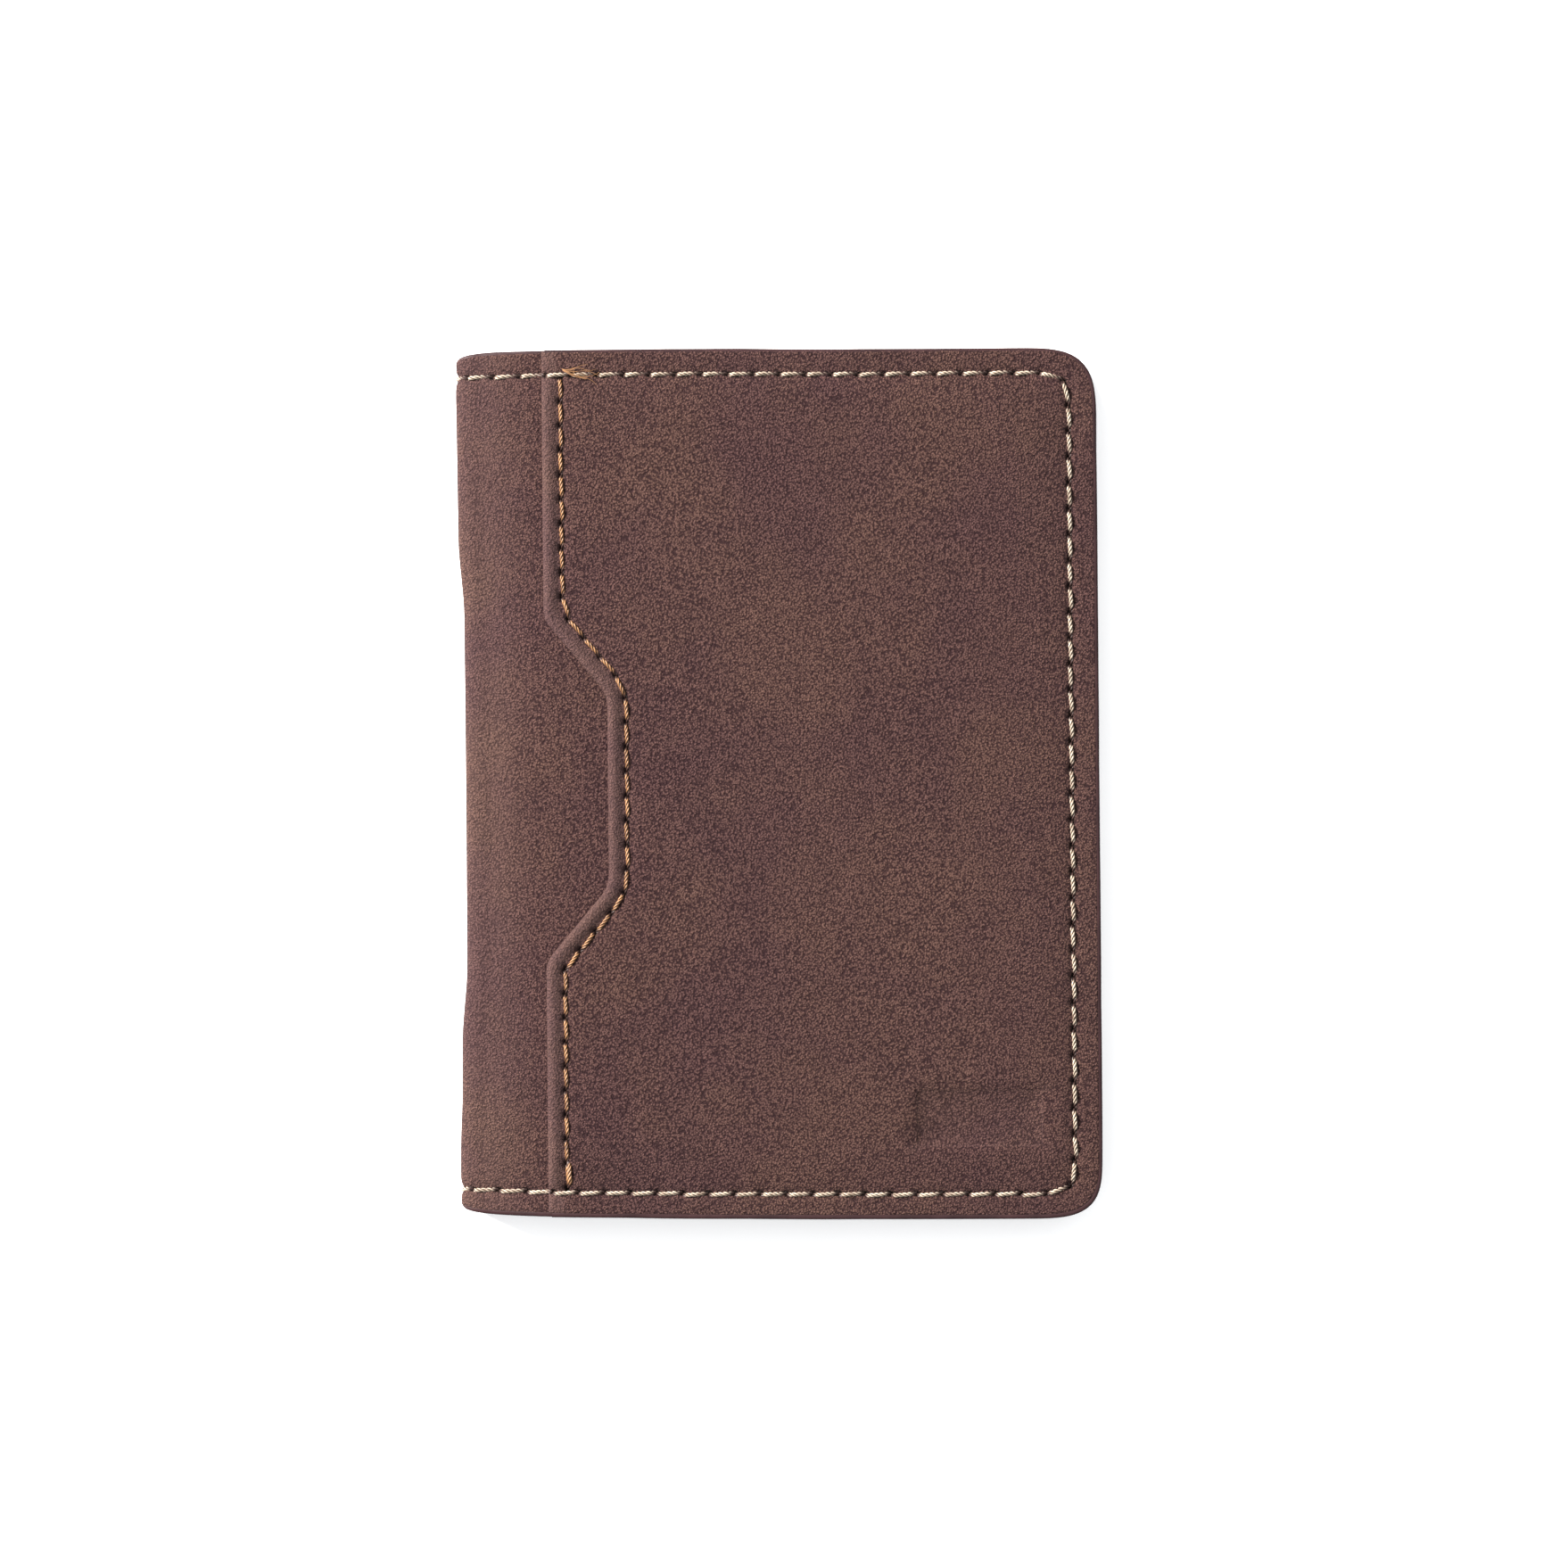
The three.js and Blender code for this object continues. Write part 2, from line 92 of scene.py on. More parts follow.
# %% Name the sizes that a box can't give
CORNER = 5.0
FOLD_RADIUS = 2.9
SEAM_MARGIN = 3.2
FORE_MARGIN = 3.5
SEAM_CORNER = 2.6
NOTCH_LENGTH = 43.0
NOTCH_FLOOR = 24.0
NOTCH_DEPTH = 7.9
NOTCH_DROP = 0.7
NOTCH_OUTER = 3.2
NOTCH_INNER = 4.0
MOUTH_SEAM = 2.35
HEM_WIDTH = 1.9
STAMP_LOW = np.array([FORE_X - 23.2, 9.2 - TOP_Y])
STAMP_HIGH = np.array([FORE_X - 7.6, 16.1 - TOP_Y])
STAMP_DEPTH = 0.22
PAINT = {"top": 0.22, "fore": 0.32, "bottom": 0.45}  # how far edge paint stands out of the cut leather
SEAM_INSET = {"top": SEAM_MARGIN, "fore": FORE_MARGIN, "bottom": SEAM_MARGIN}
print(f"notch: {NOTCH_LENGTH} mm long and {NOTCH_DEPTH} mm deep; seams: {SEAM_MARGIN} mm in")


def smooth(t):
    """0 below 0, 1 above 1, and an even S between them."""
    t = np.clip(t, 0, 1)
    return t * t * (3 - 2 * t)


# %% [markdown]
# ## Camera, table and light
# The wallet is seen from straight above, turned a hair anticlockwise, with a long lens that keeps its sides
# parallel. The light is a wide soft box overhead with more of it coming from the upper left, which is what
# draws the pebbled nap and the roll of the pocket's edge.

# %% Set the camera
LENS, SENSOR = 160.0, 36.0
VIEW_WIDTH = 196.0
camera = bpy.data.objects.new("camera", bpy.data.cameras.new("camera"))
bpy.context.scene.collection.objects.link(camera)
bpy.context.scene.camera = camera
camera.data.lens, camera.data.sensor_width = LENS, SENSOR
camera.location = (0.5 * MM, -0.05 * MM, (POCKET_Z + VIEW_WIDTH * LENS / SENSOR) * MM)
camera.rotation_euler = (0, 0, math.radians(-0.5))
camera.data.clip_start = 0.01
print(f"the camera sees {VIEW_WIDTH:.0f} mm across at the pocket's face")

# %% Lay a pale table and hang the soft boxes
bpy.ops.mesh.primitive_plane_add(size=3)
table = bpy.context.object
table.name = "table"


def soft_box(name, place, size, watts):
    """A square lamp that faces the middle of the table."""
    lamp = bpy.data.objects.new(name, bpy.data.lights.new(name, "AREA"))
    bpy.context.scene.collection.objects.link(lamp)
    lamp.location = place
    lamp.rotation_euler = (-lamp.location).to_track_quat("-Z", "Y").to_euler()
    lamp.data.size = size
    lamp.data.energy = watts
    return lamp


soft_box("key", (-1.0, 0.6, 0.66), 0.35, 92).data.color = (1, 0.96, 0.92)
soft_box("overhead", (0.2, 0.0, 1.3), 1.3, 10)
world = bpy.data.worlds.new("studio")
bpy.context.scene.world = world
world.use_nodes = True
world.node_tree.nodes["Background"].inputs["Color"].default_value = (0.9, 0.95, 1, 1)
world.node_tree.nodes["Background"].inputs["Strength"].default_value = 0.34
bpy.context.scene.view_settings.view_transform = "Standard"
print("lamps:", ", ".join(lamp.name for lamp in bpy.data.lights))

# %% [markdown]
# ## Shader groups
# Three effects are used by more than one material, so each is built once as a node group:
# *pebbled nap*, the tiny domes and creases of brushed hide; *cloudy tone*, the patches where the nap lies
# another way; and *twill*, the diagonal ribs of lining cloth. A group gives out only heights and masks, and
# each material decides what colour, roughness and bump they make.


# %% Helpers for node trees
def add_node(tree, kind, **settings):
    """A new node with its settings."""
    node = tree.nodes.new("ShaderNode" + kind)
    for name, value in settings.items():
        setattr(node, name, value)
    return node


def connect(tree, source, target):
    """Links a socket to a socket, or sets the target to a plain value."""
    if isinstance(source, bpy.types.NodeSocket):
        tree.links.new(source, target)
    else:
        target.default_value = source


def math_node(tree, operation, *values):
    """The result of a Math node."""
    node = add_node(tree, "Math", operation=operation)
    for socket, value in zip(node.inputs, values):
        connect(tree, value, socket)
    return node.outputs[0]


def noise(tree, vector, scale, detail=2.0, roughness=0.5):
    """The value of a Noise Texture."""
    node = add_node(tree, "TexNoise")
    connect(tree, vector, node.inputs["Vector"])
    connect(tree, scale, node.inputs["Scale"])
    node.inputs["Detail"].default_value = detail
    node.inputs["Roughness"].default_value = roughness
    return node.outputs[0]


def mix_colour(tree, share, first, second, how="MIX"):
    """Mixes two colours and returns the result."""
    node = add_node(tree, "Mix", data_type="RGBA", blend_type=how)
    connect(tree, share, node.inputs[0])
    connect(tree, first, node.inputs[6])
    connect(tree, second, node.inputs[7])
    return node.outputs[2]


def spread(tree, value, start, end, to_low=0.0, to_high=1.0):
    """Stretches a value's range start..end to to_low..to_high, and holds it there."""
    node = add_node(tree, "MapRange", interpolation_type="SMOOTHSTEP")
    for socket, number in zip(node.inputs, (value, start, end, to_low, to_high)):
        connect(tree, number, socket)
    return node.outputs[0]


def new_group(name, numbers, outputs):
    """A node group with a Position, number inputs with their defaults, and number outputs."""
    group = bpy.data.node_groups.new(name, "ShaderNodeTree")
    group.interface.new_socket("Position", in_out="INPUT", socket_type="NodeSocketVector")
    for label, value in numbers.items():
        socket = group.interface.new_socket(label, in_out="INPUT", socket_type="NodeSocketFloat")
        socket.default_value = value
    for label in outputs:
        group.interface.new_socket(label, in_out="OUTPUT", socket_type="NodeSocketFloat")
    inside = group.nodes.new("NodeGroupInput")
    outside = group.nodes.new("NodeGroupOutput")
    return group, inside.outputs, outside.inputs


def use_group(tree, group, position, **numbers):
    """Places a group in a material and returns its outputs."""
    node = add_node(tree, "Group", node_tree=group)
    connect(tree, position, node.inputs["Position"])
    for label, value in numbers.items():
        connect(tree, value, node.inputs[label])
    return node.outputs


# %% Pebbled nap
NAP, given, result = new_group("pebbled nap", {"Pebble": 0.5}, ["Height", "Speckle"])
units = add_node(NAP, "VectorMath", operation="SCALE")
connect(NAP, given["Position"], units.inputs[0])
connect(NAP, math_node(NAP, "DIVIDE", 1000.0, given["Pebble"]), units.inputs["Scale"])
grain_place = units.outputs[0]
wander = add_node(NAP, "TexNoise")
connect(NAP, grain_place, wander.inputs["Vector"])
wander.inputs["Scale"].default_value = 0.9
bent = add_node(NAP, "VectorMath", operation="MULTIPLY_ADD")
connect(NAP, wander.outputs["Color"], bent.inputs[0])
bent.inputs[1].default_value = (0.7, 0.7, 0.7)
connect(NAP, grain_place, bent.inputs[2])
domes = add_node(NAP, "TexVoronoi", feature="SMOOTH_F1")
connect(NAP, bent.outputs[0], domes.inputs["Vector"])
domes.inputs["Scale"].default_value = 1.0
domes.inputs["Smoothness"].default_value = 0.3
dome = math_node(NAP, "SUBTRACT", 1.0, domes.outputs["Distance"])
fibre = noise(NAP, grain_place, 1.6, 4.0, 0.66)
height = math_node(NAP, "MULTIPLY_ADD", fibre, 0.75, math_node(NAP, "MULTIPLY", dome, 0.6))
connect(NAP, height, result["Height"])
connect(NAP, noise(NAP, grain_place, 3.1, 2.0, 0.7), result["Speckle"])

# %% Cloudy tone
CLOUDS, given, result = new_group("cloudy tone", {"Patch": 14.0}, ["Tone"])
cloud_scale = math_node(CLOUDS, "DIVIDE", 1000.0, given["Patch"])
broad = noise(CLOUDS, given["Position"], cloud_scale, 3.0, 0.55)
connect(CLOUDS, spread(CLOUDS, broad, 0.3, 0.7), result["Tone"])

# %% Twill
TWILL, given, result = new_group("twill", {"Rib": 0.45}, ["Height"])
split_uv = add_node(TWILL, "SeparateXYZ")
connect(TWILL, given["Position"], split_uv.inputs[0])
turns = math_node(TWILL, "DIVIDE", 2000 * math.pi, given["Rib"])
slope = math_node(TWILL, "MULTIPLY_ADD", split_uv.outputs[1], 0.6, split_uv.outputs[0])
rib = math_node(TWILL, "SINE", math_node(TWILL, "MULTIPLY", slope, turns))
across = math_node(TWILL, "MULTIPLY", split_uv.outputs[1], math_node(TWILL, "MULTIPLY", turns, 1.7))
weft = math_node(TWILL, "MULTIPLY", math_node(TWILL, "SINE", across), 0.35)
connect(TWILL, math_node(TWILL, "MULTIPLY_ADD", rib, 0.5, weft), result["Height"])
print("groups:", ", ".join(group.name for group in bpy.data.node_groups))

# %% [markdown]
# ## Materials
# Every finish is a Principled shader. The nubuck's colour follows its own height: dark and a little purple in
# the creases, which is painted shade, and warm on the tops of the pebbles, which is painted highlight. Masks
# that the meshes carry say where a needle went in, which is darkened there as painted shade, where an edge is
# turned and rubbed smooth, which beside the spine is lightened as painted highlight, and where it is pinched.


# %% Helpers for materials
def new_material(name):
    """A material with a Principled shader: the material, its tree and the shader's inputs."""
    material = bpy.data.materials.new(name)
    material.use_nodes = True
    shader = material.node_tree.nodes["Principled BSDF"]
    return material, material.node_tree, shader.inputs


def rest_place(tree):
    """A point's own place on the piece, in metres."""
    return add_node(tree, "TexCoord").outputs["Object"]


def cut_place(tree):
    """A point's place on the flat cut, in metres."""
    return add_node(tree, "UVMap", uv_map="cut").outputs[0]


def mask(tree, name):
    """A value that the mesh carries at each point."""
    return add_node(tree, "Attribute", attribute_name=name).outputs["Fac"]


def bump(tree, height, depth, target):
    """Bumps a shader by a height of 0 to 1 that stands for a depth in millimetres."""
    node = add_node(tree, "Bump")
    node.inputs["Distance"].default_value = depth * MM
    connect(tree, height, node.inputs["Height"])
    connect(tree, node.outputs[0], target)


def sheen(inputs, weight, roughness, tint):
    """The soft glow of short fibres at a glancing angle."""
    inputs["Sheen Weight"].default_value = weight
    inputs["Sheen Roughness"].default_value = roughness
    inputs["Sheen Tint"].default_value = (*tint, 1)


# %% Brushed hide, outside and inside
def leather(name, pebble, depth, crease, tip_highlight, rubbed, roughness, nap_glow):
    """Hide with a pebbled nap. Colours are for its creases, which is painted shade, for the tops of its
    pebbles, which is painted highlight, and for where it is rubbed smooth, which beside the spine is also
    painted highlight.
    """
    material, tree, inputs = new_material(name)
    place = rest_place(tree)
    nap = use_group(tree, NAP, place, Pebble=pebble)
    rub_and_highlight = mask(tree, "rub_and_highlight")
    # The creases get the crease colour as painted shade, and the tops of the pebbles get the warm colour as
    # painted highlight.
    tip_highlight_share = spread(tree, nap["Height"], 0.52, 0.94)
    colour = mix_colour(tree, tip_highlight_share, (*crease, 1), (*tip_highlight, 1))
    speckle = spread(tree, nap["Speckle"], 0.58, 0.74, 0.0, 0.5)
    colour = mix_colour(tree, speckle, colour, (*rubbed, 1))
    tone = use_group(tree, CLOUDS, place, Patch=15.0)["Tone"]
    fine_tone = use_group(tree, CLOUDS, place, Patch=4.0)["Tone"]
    shade = math_node(tree, "MULTIPLY_ADD", tone, 0.14, 0.9)
    shade = math_node(tree, "MULTIPLY_ADD", fine_tone, 0.05, shade)
    # Near a needle hole the colour is darkened to a tenth, as painted shade in the hole.
    shade = math_node(tree, "MULTIPLY", shade, spread(tree, mask(tree, "needle"), 0.08, 0.6, 1.0, 0.1))
    # This mask pulls the colour to the rubbed colour: real wear on turned edges, and painted highlight on the
    # strip beside the spine.
    colour = mix_colour(tree, math_node(tree, "MULTIPLY", rub_and_highlight, 0.5), colour, (*rubbed, 1))
    patch = mix_colour(tree, tone, (0.97, 0.93, 1.02, 1), (1.04, 1.05, 0.98, 1))
    colour = mix_colour(tree, 1.0, colour, patch, "MULTIPLY")
    tinted = add_node(tree, "VectorMath", operation="SCALE")
    connect(tree, colour, tinted.inputs[0])
    connect(tree, shade, tinted.inputs["Scale"])
    connect(tree, tinted.outputs[0], inputs["Base Color"])
    inputs["Roughness"].default_value = roughness
    inputs["Specular IOR Level"].default_value = 0.12
    sheen(inputs, nap_glow, 0.45, tip_highlight)
    relief = math_node(tree, "MULTIPLY", nap["Height"], spread(tree, rub_and_highlight, 0.0, 1.0, 1.0, 0.75))
    bump(tree, relief, depth, inputs["Normal"])
    return material


# For both hides, the first colour is painted shade in the creases and the second is painted highlight on the
# tops of the pebbles.
NUBUCK = leather(
    "nubuck", 0.27, 0.56, (0.024, 0.0105, 0.0115), (0.119, 0.063, 0.053), (0.1, 0.06, 0.054), 0.88, 0.05
)
INNER_LEATHER = leather(
    "inner leather", 0.6, 0.16, (0.03, 0.0145, 0.014), (0.058, 0.029, 0.025), (0.066, 0.036, 0.032), 0.6, 0.04
)


# %% Painted edge
def edge_paint():
    """Two coats of wine-brown edge paint: smooth, with the brush's faint ripples."""
    material, tree, inputs = new_material("edge paint")
    place = rest_place(tree)
    tone = use_group(tree, CLOUDS, place, Patch=6.0)["Tone"]
    colour = mix_colour(tree, tone, (0.016, 0.005, 0.006, 1), (0.03, 0.011, 0.012, 1))
    connect(tree, colour, inputs["Base Color"])
    inputs["Roughness"].default_value = 0.55
    inputs["Specular IOR Level"].default_value = 0.2
    bump(tree, use_group(tree, NAP, place, Pebble=1.3)["Height"], 0.05, inputs["Normal"])
    return material


# %% Twisted thread
def thread(name, pale, deep):
    """Polyester thread. Each ply has fine filaments that run along it."""
    material, tree, inputs = new_material(name)
    place = rest_place(tree)
    # The ply crests take the pale colour as painted highlight, and the hollows between plies take the deep
    # colour as painted shade.
    highlight_share = math_node(tree, "MULTIPLY", noise(tree, place, 900.0, 2.0), mask(tree, "outer"))
    colour = mix_colour(tree, spread(tree, highlight_share, 0.15, 0.58), (*deep, 1), (*pale, 1))
    # Where the thread sinks into its hole it turns dark brown, as painted shade of the hole.
    sunk_shade = spread(tree, mask(tree, "depth"), 0.0, 1.0)
    connect(tree, mix_colour(tree, sunk_shade, colour, (0.03, 0.013, 0.011, 1)), inputs["Base Color"])
    inputs["Roughness"].default_value = 0.5
    sheen(inputs, 0.2, 0.4, pale)
    filament = add_node(tree, "SeparateXYZ")
    connect(tree, cut_place(tree), filament.inputs[0])
    wave = math_node(tree, "SINE", math_node(tree, "MULTIPLY", filament.outputs[1], 60.0))
    bump(tree, wave, 0.012, inputs["Normal"])
    return material


# %% Lining, board and film
def lining_cloth():
    """Dark brown twill."""
    material, tree, inputs = new_material("lining cloth")
    rib = use_group(tree, TWILL, cut_place(tree))["Height"]
    lit = spread(tree, rib, -0.6, 0.8)
    colour = mix_colour(tree, lit, (0.014, 0.008, 0.008, 1), (0.045, 0.027, 0.025, 1))
    connect(tree, colour, inputs["Base Color"])
    inputs["Roughness"].default_value = 0.72
    sheen(inputs, 0.25, 0.4, (0.2, 0.14, 0.13))
    bump(tree, rib, 0.05, inputs["Normal"])
    return material


def grey_board():
    """Pressed grey board, with pulp flecks."""
    material, tree, inputs = new_material("grey board")
    place = rest_place(tree)
    flecks = spread(tree, noise(tree, place, 2500.0, 4.0, 0.7), 0.35, 0.7)
    connect(tree, mix_colour(tree, flecks, (0.2, 0.17, 0.14, 1), (0.3, 0.27, 0.23, 1)), inputs["Base Color"])
    inputs["Roughness"].default_value = 0.95
    bump(tree, flecks, 0.03, inputs["Normal"])
    return material


def clear_film():
    """Soft clear film, with the slow waves that keep it from lying flat."""
    material, tree, inputs = new_material("clear film")
    inputs["Base Color"].default_value = (0.93, 0.96, 0.97, 1)
    inputs["Transmission Weight"].default_value = 1.0
    inputs["Metallic"].default_value = 0.0
    inputs["Roughness"].default_value = 0.06
    inputs["IOR"].default_value = 1.46
    bump(tree, noise(tree, rest_place(tree), 90.0, 2.0), 0.25, inputs["Normal"])
    return material


def pale_table():
    """A matt white table top that glows a little, as a light table does, so that shadows on it stay pale."""
    material, tree, inputs = new_material("table top")
    inputs["Base Color"].default_value = (0.9, 0.9, 0.9, 1)
    inputs["Roughness"].default_value = 0.9
    inputs["Specular IOR Level"].default_value = 0.1
    inputs["Emission Color"].default_value = (1, 1, 1, 1)
    inputs["Emission Strength"].default_value = 0.45
    return material


EDGE_PAINT = edge_paint()
# Each thread's first colour is painted highlight on its ply crests, and its second is painted shade between
# the plies.
CREAM_THREAD = thread("cream thread", (0.39, 0.32, 0.245), (0.11, 0.072, 0.048))
TAN_THREAD = thread("tan thread", (0.29, 0.145, 0.06), (0.06, 0.025, 0.011))
LINING_CLOTH = lining_cloth()
GREY_BOARD = grey_board()
CLEAR_FILM = clear_film()
table.data.materials.append(pale_table())
print("materials:", ", ".join(material.name for material in bpy.data.materials))

# %% [markdown]
# ## Lines on the leather
# A wallet maker works from lines: the cut outline, the line of stitches a few millimetres inside it, the
# pocket's mouth. Each is a short list of corners with their radii. Two tools do the rest: one spaces points
# evenly along a line, and one moves a line sideways.


# %% Draw, space and offset lines
def rounded(corners, closed=False):
    """Points through corners (x, y, radius), each rounded to its radius."""
    corners = [np.array(c, float) for c in corners]
    count = len(corners)
    points = []
    for i, corner in enumerate(corners):
        is_end = not closed and i in (0, count - 1)
        if is_end or len(corner) < 3 or corner[2] == 0:
            points.append(corner[:2])
            continue
        here, radius = corner[:2], corner[2]
        back = corners[i - 1][:2] - here
        on = corners[(i + 1) % count][:2] - here
        back, on = back / np.linalg.norm(back), on / np.linalg.norm(on)
        half = math.acos(np.clip(back @ on, -1, 1)) / 2
        start = here + back * radius / math.tan(half)
        end = here + on * radius / math.tan(half)
        bisector = (back + on) / np.linalg.norm(back + on)
        centre = here + bisector * radius / math.sin(half)
        first, last = np.arctan2(*(start - centre)[::-1]), np.arctan2(*(end - centre)[::-1])
        sweep = (last - first + math.pi) % (2 * math.pi) - math.pi
        steps = max(4, int(abs(sweep) * radius / 0.4))
        for angle in first + sweep * np.linspace(0, 1, steps + 1):
            points.append(centre + radius * np.array([math.cos(angle), math.sin(angle)]))
    return np.array(points)


def rectangle(corner, far_corner, radius):
    """A closed rectangle with rounded corners."""
    (x0, y0), (x1, y1) = corner[:2], far_corner[:2]
    return rounded([(x0, y0, radius), (x1, y0, radius), (x1, y1, radius), (x0, y1, radius)], closed=True)


def closed_line(ring):
    """A closed outline as a line that comes back to its first point."""
    return np.vstack([ring, ring[:1]])


def spaced(path, gap, closed=False):
    """The same line with points about gap apart."""
    if closed:
        path = closed_line(path)
    steps = np.linalg.norm(np.diff(path, axis=0), axis=1)
    along = np.concatenate([[0], np.cumsum(steps)])
    count = max(2, int(round(along[-1] / gap)))
    at = np.linspace(0, along[-1], count + 1)
    if closed:
        at = at[:-1]
    return np.column_stack([np.interp(at, along, path[:, k]) for k in range(path.shape[1])])


def sideways(path, amount, closed=False):
    """The line moved to its left by an amount, with mitred corners."""
    steps = np.diff(closed_line(path) if closed else path, axis=0)
    steps = steps / np.maximum(np.linalg.norm(steps, axis=1), 1e-9)[:, None]
    left = np.column_stack([-steps[:, 1], steps[:, 0]])
    if closed:
        before, after = np.roll(left, 1, axis=0), left
    else:
        before, after = np.vstack([left[:1], left]), np.vstack([left, left[-1:]])
    scale = np.maximum(1 + (before * after).sum(1), 0.5)
    return path + amount * (before + after) / scale[:, None]


def distance_to(points, path):
    """Each point's distance to a line."""
    start, step = path[:-1], np.diff(path, axis=0)
    length = np.maximum((step**2).sum(1), 1e-12)
    nearest = np.empty(len(points))
    for i in range(0, len(points), 4000):
        off = points[i : i + 4000, None] - start
        t = np.clip((off * step).sum(2) / length, 0, 1)
        nearest[i : i + 4000] = np.linalg.norm(off - t[..., None] * step, axis=2).min(1)
    return nearest


def inside(points, ring):
    """Which points lie inside a closed line."""
    (x, y), found = points.T, np.zeros(len(points), bool)
    for (x0, y0), (x1, y1) in zip(ring, np.roll(ring, -1, axis=0)):
        if y0 == y1:
            continue
        crosses = (y0 > y) != (y1 > y)
        found ^= crosses & (x < (x1 - x0) * (y - y0) / (y1 - y0) + x0)
    return found


# %% [markdown]
# ## From a flat cut to a sheet with thickness
# One helper makes every sheet. It fills the outline with triangles that are small where there is something to
# see, along seams and turned edges, and large where the leather is plain. It lifts one copy to the sheet's
# upper face and one to its lower face, rolls both over at the edge, and walls them together. A last
# step, the *placing*, says where the flat cut goes: straight up, or round the spine.


# %% Fill an outline with triangles
RIM_ROWS = (0.0, 0.04, 0.12, 0.25, 0.45, 0.7, 1.0)


def fill(outline, holes, rows, grid):
    """Points and triangles that fill an outline. rows are (line, offsets, gap) where detail is wanted."""
    rings = [spaced(ring, 0.7, closed=True) for ring in (outline, *holes)]
    points, edges = [], []
    for ring in rings:
        first = sum(map(len, points))
        points.append(ring)
        edges += [(first + i, first + (i + 1) % len(ring)) for i in range(len(ring))]
    loose = [sideways(ring, row, closed=True) for ring in rings for row in RIM_ROWS[1:]]
    bands = [(closed_line(ring), RIM_ROWS[-1] + grid * 0.45) for ring in rings]
    for line, offsets, gap in rows:
        fine = spaced(line, gap)
        loose += [sideways(fine, offset) for offset in offsets]
        bands.append((fine[::3], max(np.abs(offsets)) + grid * 0.45))
    corner, size = outline.min(0), np.ptp(outline, axis=0)
    columns, levels = (int(n) for n in size / grid + 2)
    x, y = np.meshgrid(np.arange(columns), np.arange(levels))
    hexes = np.column_stack([(x + 0.5 * (y % 2)).ravel() * grid, y.ravel() * grid]) + corner
    for line, reach in bands:
        hexes = hexes[distance_to(hexes, line) > reach]
    loose = np.vstack([*loose, hexes])
    kept = inside(loose, rings[0])
    for ring in rings:
        kept &= distance_to(loose, closed_line(ring)) > RIM_ROWS[1] * 0.6
    for hole in rings[1:]:
        kept &= ~inside(loose, hole)
    points = np.vstack([*points, loose[kept]])
    found = delaunay_2d_cdt([tuple(p) for p in points], edges, [], 0, 1e-5, False)
    flat = np.array([tuple(v) for v in found[0]])
    triangles = np.array(found[2])
    middles = flat[triangles].mean(1)
    keep = inside(middles, rings[0])
    for hole in rings[1:]:
        keep &= ~inside(middles, hole)
    return flat, triangles[keep]


def rim_edges(triangles):
    """The edges that only one triangle uses, each in that triangle's own direction."""
    edges = triangles[:, [0, 1, 1, 2, 2, 0]].reshape(-1, 2)
    both, uses = np.unique(np.sort(edges, axis=1), axis=0, return_counts=True)
    single = {tuple(edge) for edge in both[uses == 1]}
    return np.array([edge for edge in edges if tuple(sorted(edge)) in single])


# %% Turn arrays into a mesh object
def make_piece(name, points, faces, material, cut=None, masks=None):
    """A mesh object from points in millimetres, with its flat-cut coordinates and its masks."""
    mesh = bpy.data.meshes.new(name)
    mesh.from_pydata((points * MM).tolist(), [], faces)
    mesh.shade_smooth()
    mesh.set_sharp_from_angle(angle=math.radians(62))
    if cut is not None:
        corner_points = np.empty(len(mesh.loops), int)
        mesh.loops.foreach_get("vertex_index", corner_points)
        layer = mesh.uv_layers.new(name="cut")
        layer.data.foreach_set("uv", (cut[corner_points] * MM).astype(np.float32).ravel())
    for label, values in (masks or {}).items():
        attribute = mesh.attributes.new(label, "FLOAT", "POINT")
        attribute.data.foreach_set("value", np.asarray(values, np.float32))
    mesh.materials.append(material)
    piece = bpy.data.objects.new(name, mesh)
    bpy.context.scene.collection.objects.link(piece)
    print(f"{name}: {len(mesh.polygons)} faces")
    return piece


def tube_faces(first, steps, ring):
    """The wall and both ends of a tube of rings of points. first is the number of its first point."""
    faces = []
    for i in range(steps - 1):
        for k in range(ring):
            a, b = first + i * ring + k, first + i * ring + (k + 1) % ring
            faces.append((a, b, b + ring, a + ring))
    faces.append(tuple(first + k for k in reversed(range(ring))))
    faces.append(tuple(first + (steps - 1) * ring + k for k in range(ring)))
    return faces


def out_of_square(x, y):
    """A cut that isn't quite square: both ends drop towards the fore edge, and the lower one bows."""
    share = x / FORE_X
    lower = 0.5 * share - 0.22 * share**2
    return y - lower * smooth(-y / TOP_Y) - 0.2 * smooth((x + 10) / 20) * smooth(y / TOP_Y)


def straight_up(cut, height):
    """The plain placing: the cut lies level and height is z."""
    x, y = cut.T
    return np.column_stack([x, out_of_square(x, y), height])


